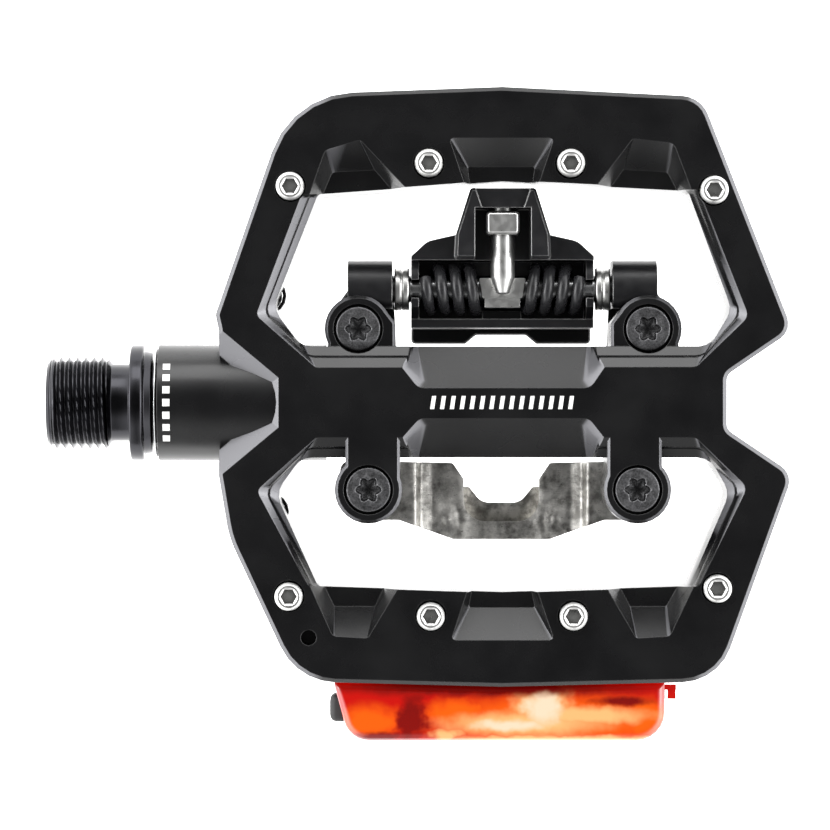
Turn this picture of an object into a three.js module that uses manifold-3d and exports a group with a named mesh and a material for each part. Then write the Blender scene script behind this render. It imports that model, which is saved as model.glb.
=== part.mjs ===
// Clipless platform pedal, right-hand side: a cast platform that turns on a spindle,
// with a sprung cleat clamp on its clip side and a slide-in rear light.
// Millimetres. The spindle axis is X and +X points away from the crank. The flat side is up (+Z),
// the sprung claw is on the +Y side, and the origin is where the spindle flange meets the crank.
import * as THREE from 'three';
import { mergeVertices } from 'three/addons/utils/BufferGeometryUtils.js';
import Module from 'manifold-3d';

const wasm = await Module();
wasm.setup();

// ---- driving dimensions ----
const gap = 0.3; // running and assembly clearance
const threadRadius = 7.14; // 9/16 inch pedal thread
const threadPitch = 1.27; // 20 turns per inch, right hand
const threadStart = -12.8;
const threadEnd = -3.6;
const threadDepth = 0.72;
const flangeRadius = 8.9;
const flangeLength = 2.1;
const crankKey = 8; // hexagon socket across flats

const barrelStart = 4.3;
const barrelRadius = 8.92;
const boreRadius = 7.2;
const boreEnd = 86;
const topFace = 9.2;
const underFace = -8.6;
const barTopHalf = 5.3; // half width of the bar's flat top
const edgeChamfer = 0.6;

const pinRadius = 2.15;
const pinProud = 2.1;
const pinLength = 8.6;
const topPins = [[24.7, 32.9], [45.8, 36.4], [67.4, 36.4], [89.2, 32.3],
  [24.5, -29.5], [46.1, -32.5], [67.8, -32.5], [89.7, -28.3]];
const pinBossRadius = 2.95;
const underPins = [[20.8, 16.6], [93.9, 17.9], [21.2, -16.9], [93.8, -16.8]];

const middle = 57.2; // X of the clamp's plane of symmetry
const clawAxisY = 17.6;
const clawAxisZ = -4;
const clawAxleRadius = 2.1;
const upperScrews = [[35.0, 11.3], [79.4, 11.3]]; // hold the claw bracket
const lowerScrews = [[36.6, -13.3], [77.6, -13.3]]; // hold the cleat plate
const upperBossTop = 5.6;
const bossRadius = 5.15;
const earFront = 14.6; // the bracket ears that carry the claw axle
const earTop = 0.4;
const earSpan = [33.3, 40.2];
const screwHeadRadius = 3.5;
const screwHeadHeight = 2.4;
const screwShankRadius = 2.4;
const plateTop = -8.9; // steel plates lie against the casting's underside
const plateThickness = 2.3;
const lipTop = -14.3; // underside hooks that catch the cleat
const lipBottom = -16.4;

const springWire = 1.8;
const springRadius = 3.2; // to the middle of the wire
const springPitch = 2.35;
const springTurns = 3.55;
const springStart = 45.3; // X of the inboard spring's outer end
const tensionScrewZ = 0.9;
const tensionScrewRadius = 1.85;
const tensionHeadRadius = 2.5;

const lightHalfHeight = 5.6;
const lightInner = -43.5;
const lightOuter = -51.8;

// ---- finishes ----
const finish = (color, roughness, metalness) =>
  () => new THREE.MeshStandardMaterial({ color, roughness, metalness });
const satinBlackPaint = finish(0x1f2022, 0.55, 0.2);
const glossBlackSteel = finish(0x121314, 0.25, 0.6);
const blackSteel = finish(0x1b1b1d, 0.45, 0.6);
const darkScrewSteel = finish(0x55565a, 0.4, 0.8);
const brightSteel = finish(0xc9cbce, 0.25, 1);
const bearingSteel = finish(0xb9bcc0, 0.2, 1);
const blackRubber = finish(0x161616, 0.85, 0);
const bronze = finish(0x9a7440, 0.4, 0.9);
const blackNylon = finish(0x1c1c1c, 0.6, 0);
const redLens = finish(0xb01212, 0.2, 0);
const circuitGreen = finish(0x1f5a34, 0.5, 0);
const warmWhite = finish(0xfff2cf, 0.3, 0);
const cellSleeve = finish(0x3a6ea5, 0.4, 0.1);

// ---- solids ----
function solid(geometry) {
  const plain = geometry.clone();
  plain.deleteAttribute('normal');
  plain.deleteAttribute('uv');
  const merged = mergeVertices(plain, 1e-4);
  return new wasm.Manifold(new wasm.Mesh({
    numProp: 3,
    vertProperties: new Float32Array(merged.attributes.position.array),
    triVerts: new Uint32Array(merged.index.array),
  }));
}

function toGeometry(manifold) {
  const mesh = manifold.getMesh();
  const geometry = new THREE.BufferGeometry();
  geometry.setAttribute('position', new THREE.BufferAttribute(mesh.vertProperties, 3));
  geometry.setIndex(new THREE.BufferAttribute(mesh.triVerts, 1));
  geometry.computeVertexNormals();
  return geometry;
}

const join = (...pieces) => pieces.reduce((whole, piece) => whole.add(piece));
const cut = (body, ...tools) => tools.reduce((rest, tool) => rest.subtract(tool), body);

// an outline through corners [x, y, radius], each corner rounded by an arc of a fixed number of steps
function rounded(corners, steps = 2) {
  const points = [];
  corners.forEach(([x, y, radius = 0], i) => {
    const corner = new THREE.Vector2(x, y);
    const before = corners.at(i - 1);
    const after = corners[(i + 1) % corners.length];
    const toBefore = new THREE.Vector2(before[0], before[1]).sub(corner).normalize();
    const toAfter = new THREE.Vector2(after[0], after[1]).sub(corner).normalize();
    if (!radius) {
      points.push(corner);
      return;
    }
    const halfAngle = Math.acos(THREE.MathUtils.clamp(toBefore.dot(toAfter), -1, 1)) / 2;
    const centre = toBefore.clone().add(toAfter).normalize()
      .multiplyScalar(radius / Math.sin(halfAngle)).add(corner);
    const tangent = radius / Math.tan(halfAngle);
    const first = toBefore.clone().multiplyScalar(tangent).add(corner).sub(centre);
    const last = toAfter.clone().multiplyScalar(tangent).add(corner).sub(centre);
    const start = first.angle();
    let sweep = last.angle() - start;
    if (sweep > Math.PI) sweep -= 2 * Math.PI;
    if (sweep < -Math.PI) sweep += 2 * Math.PI;
    for (let k = 0; k <= steps; k++) {
      const angle = start + (sweep * k) / steps;
      points.push(new THREE.Vector2(Math.cos(angle), Math.sin(angle)).multiplyScalar(radius).add(centre));
    }
  });
  return points;
}

const acrossMiddle = ([from, to]) => [2 * middle - to, 2 * middle - from];
const mirroredX = (corners) => corners.map(([x, y, r]) => [2 * middle - x, y, r]).reverse();

// an upright prism with an optional chamfer round both faces
function prism(outline, low, high, chamfer = 0) {
  const shape = new THREE.Shape(outline);
  const geometry = new THREE.ExtrudeGeometry(shape, {
    depth: high - low - 2 * chamfer,
    bevelEnabled: chamfer > 0,
    bevelThickness: chamfer,
    bevelSize: chamfer,
    bevelOffset: -chamfer,
    bevelSegments: 1,
  });
  return solid(geometry.translate(0, 0, low + chamfer));
}

// a prism along X from an outline in Y and Z
function prismX(outline, from, to) {
  const shape = new THREE.Shape(outline);
  const geometry = new THREE.ExtrudeGeometry(shape, { depth: to - from, bevelEnabled: false });
  const turn = new THREE.Matrix4().makeBasis(
    new THREE.Vector3(0, 1, 0), new THREE.Vector3(0, 0, 1), new THREE.Vector3(1, 0, 0));
  return solid(geometry.applyMatrix4(turn).translate(from, 0, 0));
}

// a solid whose outline changes from layer to layer; all layers have the same number of points
function loft(...layers) {
  const base = layers[0].outline;
  const steps = layers.length - 1;
  const geometry = new THREE.ExtrudeGeometry(new THREE.Shape(base),
    { depth: steps, steps, bevelEnabled: false });
  const at = geometry.attributes.position;
  const here = new THREE.Vector2();
  for (let i = 0; i < at.count; i++) {
    here.set(at.getX(i), at.getY(i));
    const corner = base.reduce((best, point, k) =>
      (point.distanceTo(here) < base[best].distanceTo(here) ? k : best), 0);
    const layer = layers[Math.round(at.getZ(i))];
    at.setXYZ(i, layer.outline[corner].x, layer.outline[corner].y, layer.z);
  }
  return solid(geometry);
}

// the same outline moved in by a distance: corners follow both of their edges and radii shrink or grow
function inset(corners, distance) {
  return corners.map(([x, y, radius], i) => {
    const here = new THREE.Vector2(x, y);
    const [before, after] = [corners.at(i - 1), corners[(i + 1) % corners.length]]
      .map((corner) => new THREE.Vector2(corner[0], corner[1]));
    const [n1, n2] = [here.clone().sub(before), after.clone().sub(here)]
      .map((edge) => new THREE.Vector2(-edge.y, edge.x).normalize());
    const move = n1.clone().add(n2).multiplyScalar(distance / (1 + n1.dot(n2)));
    const turnsIn = n1.cross(n2) < 0;
    const moved = here.add(move);
    return radius ? [moved.x, moved.y, Math.max(0.3, radius + (turnsIn ? distance : -distance))]
      : [moved.x, moved.y];
  });
}

const between = (a, b, share) => a.map((point, i) => point.clone().lerp(b[i], share));

// a turned solid along X from a profile of [x, radius], which starts and ends on the axis
function turned(profile, segments = 32, y = 0, z = 0) {
  const geometry = new THREE.LatheGeometry(profile.map(([x, r]) => new THREE.Vector2(r, x)), segments);
  return geometry.rotateZ(-Math.PI / 2).translate(0, y, z);
}

// a ring along X from a closed profile of [x, radius]
const ring = (profile, segments, y, z) => turned([...profile, profile[0]], segments, y, z);

const rodX = (radius, from, to, segments = 24, y = 0, z = 0) =>
  solid(turned([[from, 0], [from, radius], [to, radius], [to, 0]], segments, y, z));

const rodZ = (radius, low, high, x, y, segments = 20) =>
  solid(new THREE.CylinderGeometry(radius, radius, high - low, segments)
    .rotateX(Math.PI / 2).translate(x, y, (low + high) / 2));

const rodY = (radius, from, to, x, z, segments = 20) =>
  solid(new THREE.CylinderGeometry(radius, radius, to - from, segments)
    .translate(x, (from + to) / 2, z));

const box = (x0, x1, y0, y1, z0, z1) =>
  solid(new THREE.BoxGeometry(x1 - x0, y1 - y0, z1 - z0)
    .translate((x0 + x1) / 2, (y0 + y1) / 2, (z0 + z1) / 2));

// ---- the scene graph: one group for each body that moves ----
const pedal = new THREE.Group();
const spindleGroup = new THREE.Group();
const platformGroup = new THREE.Group();
const clawGroup = new THREE.Group();
const lightGroup = new THREE.Group();
pedal.add(spindleGroup, platformGroup);
platformGroup.add(clawGroup, lightGroup);

function add(group, name, shape, material) {
  const geometry = shape.isBufferGeometry ? shape : toGeometry(shape);
  const mesh = new THREE.Mesh(geometry, material());
  mesh.name = name;
  group.add(mesh);
}

// ---- spindle ----
function spindle() {
  const rings = Math.round((threadEnd - threadStart) / (threadPitch / 4));
  const thread = Array.from({ length: rings + 1 }, (_, i) =>
    [threadStart + 0.3 + ((threadEnd - threadStart - 0.3) * i) / rings, threadRadius]);
  const profile = [[threadStart, 0], [threadStart, threadRadius - threadDepth], ...thread,
    [threadEnd + 0.4, 5.9], [0, 5.9], [0, flangeRadius - 0.3], [0.3, flangeRadius],
    [flangeLength - 0.5, flangeRadius], [flangeLength, 7.9], [3.4, 7.75], [3.5, 6.2], [11.9, 6.2],
    [12.1, 5], [25.5, 5], [30, 4.6], [66, 4.1], [69, 4.1], [69.1, 3.5], [80.4, 3.5], [80.6, 3],
    [84.7, 3], [85.1, 2.6], [85.1, 0]];
  const geometry = turned(profile, 20);
  // the thread: each point of the threaded length moves in by a triangle wave of x plus its turn
  const at = geometry.attributes.position;
  for (let i = 0; i < at.count; i++) {
    const x = at.getX(i);
    const radius = Math.hypot(at.getY(i), at.getZ(i));
    if (x > threadEnd + 0.01 || Math.abs(radius - threadRadius) > 0.01) continue;
    const turn = Math.atan2(at.getZ(i), at.getY(i)) / (2 * Math.PI);
    const phase = THREE.MathUtils.euclideanModulo(x / threadPitch - turn, 1);
    const depth = threadDepth * Math.abs(2 * phase - 1);
    const share = (radius - depth) / radius;
    at.setXYZ(i, x, at.getY(i) * share, at.getZ(i) * share);
  }
  const socket = solid(new THREE.CylinderGeometry(crankKey / Math.sqrt(3), crankKey / Math.sqrt(3), 10, 6)
    .rotateZ(Math.PI / 2).translate(threadStart + 2.5, 0, 0));
  return cut(solid(geometry), socket);
}

function ballBearing(name, from, width) {
  const centre = from + width / 2;
  const groove = (radius, sign) => [-0.8, -0.4, 0.4, 0.8].map((dx) =>
    [centre + dx, radius - sign * (0.9 - Math.abs(dx) * 0.7)]);
  const inner = [[from, 3.75], [from, 4.75], ...groove(4.75, 1), [from + width, 4.75], [from + width, 3.75]];
  const outer = [[from, 5.95], [from, 6.95], [from + width, 6.95], [from + width, 5.95],
    ...groove(5.95, -1).reverse()];
  add(spindleGroup, `${name}_inner_ring`, ring(inner, 16), bearingSteel);
  add(platformGroup, `${name}_outer_ring`, ring(outer, 16), bearingSteel);
  const cage = solid(ring([[centre - 0.25, 5.2], [centre - 0.25, 5.5], [centre + 0.25, 5.5],
    [centre + 0.25, 5.2]], 10));
  const balls = Array.from({ length: 7 }, (_, i) => {
    const angle = (i * 2 * Math.PI) / 7;
    return solid(new THREE.SphereGeometry(0.95, 6, 4)
      .translate(centre, 5.35 * Math.cos(angle), 5.35 * Math.sin(angle)));
  });
  add(platformGroup, `${name}_balls`, join(cage, ...balls), bearingSteel);
}

function spindleUnit() {
  add(spindleGroup, 'spindle', spindle(), glossBlackSteel);
  ballBearing('outer_bearing_a', 69.6, 5);
  ballBearing('outer_bearing_b', 75, 5);
  const nut = cut(
    solid(new THREE.CylinderGeometry(5.2, 5.2, 3.6, 6).rotateZ(Math.PI / 2).translate(82.6, 0, 0)),
    rodX(3.3, 80, 86, 16));
  add(spindleGroup, 'spindle_nut', nut, bearingSteel);
  add(platformGroup, 'dust_ring',
    ring([[3.8, 6.6], [3.8, 8.3], [4.05, 8.3], [4.05, 6.6]], 24), brightSteel);
  add(platformGroup, 'spindle_seal',
    ring([[4.4, 6.6], [4.4, 6.9], [6.4, 6.9], [6.4, 6.5], [5.6, 6.5]], 16), blackRubber);
  add(platformGroup, 'retaining_collar',
    ring([[6.8, 6.5], [6.8, 6.9], [11.6, 6.9], [11.6, 6.5]], 16), blackNylon);
  add(platformGroup, 'spindle_bush',
    ring([[12.4, 5.3], [12.4, 6.9], [24.8, 6.9], [24.8, 5.3]], 16), bronze);
}

// ---- platform casting ----
const outerCorners = [
  [13.8, -11.1, 0.8], [15.4, -20.6, 16], [25.7, -42.5, 9.5], [57, -43.3], [89.9, -42.5, 8],
  [101.3, -10.9, 2.8], [91.2, -4.1, 1.6], [91.2, 4.2, 1.6], [101.2, 11, 2.8],
  [87.3, 46.6, 4.5], [57, 48.1], [24.9, 46.9, 13.5], [13.3, 13.4, 1.5], [13.8, 11.1, 0.8]];
const sideLean = 2.6; // the outer walls lean in by this much towards the underside

// each window: its edge on the top face, and its clear edge lower down
const upperWindow = {
  face: [[19.5, 13.3, 1], [28.6, barTopHalf, 1], [86.5, barTopHalf + 0.1, 1.5], [94.5, 13.1, 1.5],
    [86.9, 32.4, 1], [57, 33.9], [26.4, 31.6, 1]],
  clear: [[22.0, 14.4, 3.2], [26.3, 8.6, 3.2], [88.9, 8.6, 3.2], [92.1, 14.2, 3.2],
    [85.4, 32.4, 1], [57, 33.9], [28.9, 31.9, 1]],
};
const lowerWindow = {
  face: [[19.6, -13.4, 1], [27.5, -28.0, 1], [57, -29.0], [86.9, -28.0, 1], [94.3, -12.9, 1.5],
    [86.4, -barTopHalf, 1.5], [28.7, -barTopHalf, 1]],
  clear: [[22.4, -13.8, 3.2], [28.9, -28.1, 1], [57, -29.0], [85.6, -28.1, 1], [91.8, -13.8, 3.2],
    [88.7, -8.4, 3.2], [26.3, -8.4, 3.2]],
};

// a window is cut with two sloping steps from the top face down to its clear edge
function windowCut({ face, clear }) {
  const wide = rounded(face, 3);
  const narrow = rounded(clear, 3);
  return loft(
    { outline: between(wide, narrow, 1), z: underFace + 3 },
    { outline: between(wide, narrow, 1), z: topFace - 2.8 },
    { outline: between(wide, narrow, 0.56), z: topFace - 1.9 },
    { outline: between(wide, narrow, 0.46), z: topFace - 0.95 },
    { outline: wide, z: topFace },
    { outline: wide, z: topFace + 1 });
}

function windowUnderCut({ face, clear }) {
  const wide = rounded(face, 3);
  const narrow = rounded(clear, 3);
  return loft(
    { outline: between(wide, narrow, 0.3), z: underFace - 1 },
    { outline: between(wide, narrow, 0.3), z: underFace },
    { outline: narrow, z: underFace + 2.2 },
    { outline: narrow, z: underFace + 4 });
}

// the V of sloping facets where the flat top meets the round barrel, and the upright walls below them
function shoulderCut(side) {
  const edge = [[11, 13.72], [13.9, 11.3], [22.9, 3.8], [22.9, -3.8], [13.9, -11.3], [11, -13.72]];
  const deep = [[11, 9.58], [12, 8.75], [20.2, 1.92], [20.2, -1.92], [12, -8.75], [11, -9.58]];
  const facetDrop = 2.3;
  const points = (list) => list.map(([x, y]) => new THREE.Vector2(x, y)).reverse();
  const face = side > 0 ? topFace : underFace;
  const levels = [{ outline: points(deep), z: -side * 0.1 },
    { outline: points(deep), z: face - side * facetDrop },
    { outline: points(edge), z: face }, { outline: points(edge), z: face + side }];
  return loft(...(side > 0 ? levels : levels.reverse()));
}

// a scooped recess: a corner list on the top face and the matching list on its floor
function scoop(face, floor, depth) {
  return loft({ outline: rounded(floor), z: topFace - depth },
    { outline: rounded(face), z: topFace }, { outline: rounded(face), z: topFace + 1 });
}

function railPockets() {
  return [
    scoop([[51.7, 32], [62.1, 32], [64.9, 40.3, 0.5], [48.9, 40.3, 0.5]],
      [[52.3, 32], [61.5, 32], [62.1, 36.1, 0.3], [51.7, 36.1, 0.3]], 4.4),
    scoop([[27.4, 31, 0.5], [43.9, 31], [35.3, 40, 0.6], [30, 38.4, 1.2]],
      [[29.2, 31, 0.5], [41.5, 31], [37.6, 35.6, 0.3], [31, 35.3, 0.8]], 4.4),
    scoop([[69.8, 31], [86.3, 31, 0.5], [83.1, 39.5, 1.2], [76.9, 40.2, 0.6]],
      [[72.3, 31], [84.6, 31, 0.5], [82.4, 35.3, 0.8], [75.6, 35.7, 0.3]], 4.4),
    scoop([[49.2, -36.2, 0.5], [64.9, -36.2, 0.5], [62.1, -28], [51.9, -28]],
      [[51.9, -31.4, 0.3], [62.1, -31.4, 0.3], [61.4, -28], [52.5, -28]], 4.4),
    scoop([[31.2, -35.6, 0.9], [36.5, -35.9, 0.6], [41.9, -27], [27.3, -27]],
      [[31.3, -31.2, 0.5], [37.6, -31.2, 0.3], [39.6, -27], [29.3, -27]], 4.4),
    scoop([[77.4, -35.9, 0.6], [82.5, -35.6, 0.9], [86.6, -27], [72.2, -27]],
      [[76.6, -31.2, 0.3], [82.2, -31.2, 0.5], [84.6, -27], [74.4, -27]], 4.4),
  ];
}

// the bar's two scoops: a narrow bevel along the edge, then a flat slope down to the bar's side
function barScoops() {
  const levels = (face, bevel, floor) => loft({ outline: rounded(floor, 3), z: topFace - 5 },
    { outline: rounded(bevel, 3), z: topFace - 0.9 }, { outline: rounded(face, 3), z: topFace },
    { outline: rounded(face, 3), z: topFace + 1 });
  return [
    levels([[44.2, 2.2, 1.8], [70.4, 2.2, 1.8], [73, 6, 2.2], [72.2, 10.4], [42, 10.4], [41.2, 6, 2.2]],
      [[45, 3.2, 1.6], [69.6, 3.2, 1.6], [71.9, 6.3, 2], [71.4, 10.4], [42.8, 10.4], [42.3, 6.3, 2]],
      [[44.2, 8.5, 0.4], [70, 8.5, 0.4], [70.8, 9, 0.3], [70.8, 10.4], [43.4, 10.4], [43.4, 9, 0.3]]),
    levels([[41.2, -6, 2.2], [42, -10.4], [72.2, -10.4], [73, -6, 2.2], [70.2, -2.4, 1.8],
      [44.4, -2.4, 1.8]],
    [[42.3, -6.3, 2], [42.8, -10.4], [71.4, -10.4], [71.9, -6.3, 2], [69.4, -3.4, 1.6],
      [45.2, -3.4, 1.6]],
    [[43.4, -9, 0.3], [43.4, -10.4], [70.8, -10.4], [70.8, -9, 0.3], [70, -8.5, 0.4],
      [44.2, -8.5, 0.4]]),
  ];
}

// a round boss about each clamp screw, and the web that ties it to the bar
function lugs() {
  const upperWeb = [[30.1, 6], [40.7, 6], [40.7, 12.2, 0.8], [38.6, 14.9], [30.6, 11.3]];
  const lowerWeb = [[33.1, -4.5], [33.1, -9.6, 0.6], [32.4, -13.3], [41.4, -13.3], [41.4, -4.5]];
  const boss = (x, y, top) => prism(Array.from({ length: 28 }, (_, i) => new THREE.Vector2(
    x + bossRadius * Math.cos((i * Math.PI) / 14), y + bossRadius * Math.sin((i * Math.PI) / 14))),
  underFace, top, 0.45);
  return [
    ...upperScrews.map(([x, y]) => boss(x, y, upperBossTop)),
    ...lowerScrews.map(([x, y]) => boss(x, y, topFace)),
    prism(rounded(upperWeb), underFace, upperBossTop, 0.4),
    prism(rounded(mirroredX(upperWeb)), underFace, upperBossTop, 0.4),
    prism(rounded(lowerWeb), underFace, topFace, 0.4),
    prism(rounded(mirroredX(lowerWeb)), underFace, topFace, 0.4),
  ];
}

// the rails are thinner than the arms: a trough under each rail, with sloping ends and inner edge
function railTroughs() {
  const clear = 50; // beyond the rails
  const rectangle = (x0, x1, y0, y1) =>
    [[x0, y0], [x1, y0], [x1, y1], [x0, y1]].map(([x, y]) => new THREE.Vector2(x, y));
  return [
    loft({ outline: rectangle(22, 92, 32, clear), z: underFace - 1 },
      { outline: rectangle(34, 80, 36, clear), z: -6.4 }),
    loft({ outline: rectangle(22, 92, -clear, -28), z: underFace - 1 },
      { outline: rectangle(34, 80, -clear, -31.4), z: -7.2 }),
  ];
}

function platform() {
  const wall = (lean, z) => ({ outline: rounded(inset(outerCorners, lean), 5), z });
  let body = loft(wall(sideLean + edgeChamfer, underFace), wall(sideLean, underFace + edgeChamfer),
    wall(0, 1.5), wall(0, topFace - edgeChamfer), wall(edgeChamfer, topFace));
  body = cut(body, windowCut(upperWindow), windowCut(lowerWindow),
    windowUnderCut(upperWindow), windowUnderCut(lowerWindow), shoulderCut(1), shoulderCut(-1));
  body = cut(body, ...railPockets(), ...barScoops());
  body = cut(body, ...railTroughs());
  const barrel = rodX(barrelRadius, barrelStart, 30, 36);
  const bosses = underPins.map(([x, y]) => rodZ(pinBossRadius, underFace, -4, x, y, 16));
  body = join(body, barrel, ...lugs(), ...bosses);
  const mouth = solid(turned([[3, 0], [3, 8.2], [barrelStart, 7.6], [barrelStart + 0.5, boreRadius],
    [boreEnd, boreRadius], [boreEnd + 2, 4], [boreEnd + 2, 0]], 24));
  const pinHoles = topPins.map(([x, y]) =>
    rodZ(pinRadius + 0.25, topFace + pinProud - pinLength - gap, topFace + 1, x, y, 16));
  const underHoles = underPins.map(([x, y]) =>
    rodZ(pinRadius + 0.25, underFace - 1, underFace - pinProud + pinLength + gap - 1.4, x, y, 16));
  const screwHoles = [...upperScrews, ...lowerScrews].flatMap(([x, y], i) => {
    const top = i < upperScrews.length ? upperBossTop : topFace;
    return [rodZ(screwShankRadius + gap, underFace - 1, topFace + 1, x, y, 16),
      rodZ(screwHeadRadius + gap, top - 3, topFace + 1, x, y, 28)];
  });
  const lightSlot = box(34, 80.6, -45, -36.6, -4.4, 4.4);
  const locatingHole = rodZ(1.2, 4, topFace + 1, 27.5, -35.8, 12);
  const earRooms = [earSpan, acrossMiddle(earSpan)].map(([from, to]) =>
    box(from - gap, to + gap + 0.4, earFront - gap, 24, underFace - 1, earTop + gap));
  return cut(body, mouth, ...earRooms, ...pinHoles, ...underHoles, ...screwHoles, lightSlot, locatingHole);
}

// ---- pins and screws ----
function gripPin(x, y, low, high, socketUp) {
  const chamfer = 0.45;
  const half = [[low, 0], [low, pinRadius - chamfer], [low + chamfer, pinRadius],
    [high - chamfer, pinRadius], [high, pinRadius - chamfer], [high, 0]];
  const body = solid(turned(half, 14).rotateY(-Math.PI / 2).translate(x, y, 0));
  const end = socketUp ? high : low;
  const socket = solid(new THREE.CylinderGeometry(1.25, 1.25, 3, 6)
    .rotateX(Math.PI / 2).translate(x, y, end));
  return cut(body, socket);
}

function clampScrew(x, y, headTop, end) {
  const head = rodZ(screwHeadRadius, headTop - screwHeadHeight, headTop, x, y, 24);
  const shank = rodZ(screwShankRadius, end, headTop - 2, x, y, 12);
  // the six-lobed recess: its radius swings in and out six times in one turn
  const recess = Array.from({ length: 24 }, (_, i) => {
    const angle = (i * Math.PI) / 12;
    const radius = 1.62 + 0.3 * Math.cos(6 * angle);
    return new THREE.Vector2(x + radius * Math.cos(angle), y + radius * Math.sin(angle));
  });
  return cut(join(head, shank), prism(recess, headTop - 1.8, headTop + 1));
}

function fasteners() {
  topPins.forEach(([x, y], i) => {
    const high = topFace + pinProud;
    add(platformGroup, `grip_pin_${i + 1}`, gripPin(x, y, high - pinLength, high, true), brightSteel);
  });
  underPins.forEach(([x, y], i) => {
    const low = underFace - pinProud + 0.4;
    add(platformGroup, `underside_pin_${i + 1}`, gripPin(x, y, low, low + pinLength - 2, false), blackSteel);
  });
  upperScrews.forEach(([x, y], i) =>
    add(platformGroup, `bracket_screw_${i + 1}`,
      clampScrew(x, y, upperBossTop - 0.3, plateTop - plateThickness), darkScrewSteel));
  lowerScrews.forEach(([x, y], i) =>
    add(platformGroup, `cleat_plate_screw_${i + 1}`,
      clampScrew(x, y, topFace - 0.3, plateTop - plateThickness), darkScrewSteel));
}

// ---- fixed clamp parts ----
function clawBracket() {
  const low = plateTop - plateThickness;
  const foot = [[30.6, -4, 1], [41, -5.6, 1], [2 * middle - 41, -5.6, 1], [2 * middle - 30.6, -4, 1],
    [2 * middle - 30.6, 14, 3], [2 * middle - 35, 20, 2], [2 * middle - 40.2, 20, 0.5],
    [2 * middle - 40.8, 8.3, 0.5], [40.8, 8.3, 0.5], [40.2, 20, 0.5], [35, 20, 2], [30.6, 14, 3]];
  const ear = rounded([[15.6, low + 0.2], [22, low + 0.2, 1], [22, earTop, 4.1],
    [earFront, earTop, 2], [earFront, clawAxisZ - 2.6, 0.8], [15.6, plateTop]], 5);
  const ears = [prismX(ear, ...earSpan), prismX(ear, ...acrossMiddle(earSpan))];
  const holes = upperScrews.map(([x, y]) => rodZ(screwShankRadius + gap, low - 1, plateTop + 1, x, y, 16));
  const axleHole = rodX(clawAxleRadius + gap, 33.9, 2 * middle - 33.9, 16, clawAxisY, clawAxisZ);
  return cut(join(prism(rounded(foot), low, plateTop, 0.3), ...ears), ...holes, axleHole);
}

function cleatPlate() {
  const padLow = plateTop - plateThickness;
  const dish = 0.9; // the middle of the plate is pressed down by this much
  const pad = [[32.2, -9, 1.5], [45, -9.4, 0.5], [45, -19.9, 0.5], [41.2, -18.3, 1], [33.4, -18.3, 3],
    [31.6, -14, 2]];
  const middlePart = [[43.6, -9.4, 0.4], [49.6, -9.4, 0.6], [51.3, -11.9, 0.3], [51.3, -18.6, 3.4],
    [2 * middle - 51.3, -18.6, 3.4], [2 * middle - 51.3, -11.9, 0.3], [2 * middle - 49.6, -9.4, 0.6],
    [2 * middle - 43.6, -9.4, 0.4], [2 * middle - 43.6, -19.3, 0.4], [2 * middle - 49.6, -21.3, 1.5],
    [49.6, -21.3, 1.5], [43.6, -19.3, 0.4]];
  const hookWall = [[49.6, -21.3, 1.2], [2 * middle - 49.6, -21.3, 1.2], [2 * middle - 51.3, -18.9, 0.8],
    [51.3, -18.9, 0.8]];
  const hookLip = [[49.6, -21.3, 1.2], [2 * middle - 49.6, -21.3, 1.2], [2 * middle - 50.4, -13.2, 0.6],
    [2 * middle - 52.2, -13.2, 0.6], [2 * middle - 54.2, -15.7, 2.5], [54.2, -15.7, 2.5],
    [52.2, -13.2, 0.6], [50.4, -13.2, 0.6]];
  const holes = lowerScrews.map(([x, y]) => rodZ(screwShankRadius + gap, padLow - 1, plateTop + 1, x, y, 16));
  return cut(join(
    prism(rounded(pad), padLow, plateTop, 0.25),
    prism(rounded(mirroredX(pad)), padLow, plateTop, 0.25),
    prism(rounded(middlePart), padLow - dish, plateTop - dish, 0.25),
    prism(rounded(hookWall), lipBottom, padLow, 0),
    prism(rounded(hookLip), lipBottom, lipTop, 0.25)), ...holes);
}

function clampAxle() {
  add(platformGroup, 'claw_axle',
    rodX(clawAxleRadius, 34.3, 2 * middle - 34.3, 20, clawAxisY, clawAxisZ), brightSteel);
  [['inboard', 40.5], ['outboard', 2 * middle - 42.8]].forEach(([side, x]) =>
    add(platformGroup, `claw_washer_${side}`,
      ring([[x, clawAxleRadius + gap], [x, 3.35], [x + 2.3, 3.35], [x + 2.3, clawAxleRadius + gap]],
        20, clawAxisY, clawAxisZ), brightSteel));
}

class SpringCurve extends THREE.Curve {
  // a helix along X with its first end at `start`, wound towards `direction`
  constructor(start, direction) {
    super();
    this.start = start;
    this.direction = direction;
  }

  getPoint(t, target = new THREE.Vector3()) {
    const angle = t * springTurns * 2 * Math.PI + Math.PI / 3;
    return target.set(this.start + this.direction * t * springTurns * springPitch,
      clawAxisY + springRadius * Math.cos(angle), clawAxisZ + springRadius * Math.sin(angle));
  }
}

function clampSprings() {
  [['inboard', springStart, 1], ['outboard', 2 * middle - springStart, -1]].forEach(([side, start, direction]) => {
    const section = new THREE.Shape(Array.from({ length: 5 }, (_, i) =>
      new THREE.Vector2(Math.cos((i * Math.PI) / 2.5), Math.sin((i * Math.PI) / 2.5))
        .multiplyScalar(springWire / 2)));
    const wire = new THREE.ExtrudeGeometry(section,
      { steps: 36, bevelEnabled: false, extrudePath: new SpringCurve(start, direction) });
    add(platformGroup, `claw_spring_${side}`, solid(wire), blackSteel);
  });
}

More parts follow.
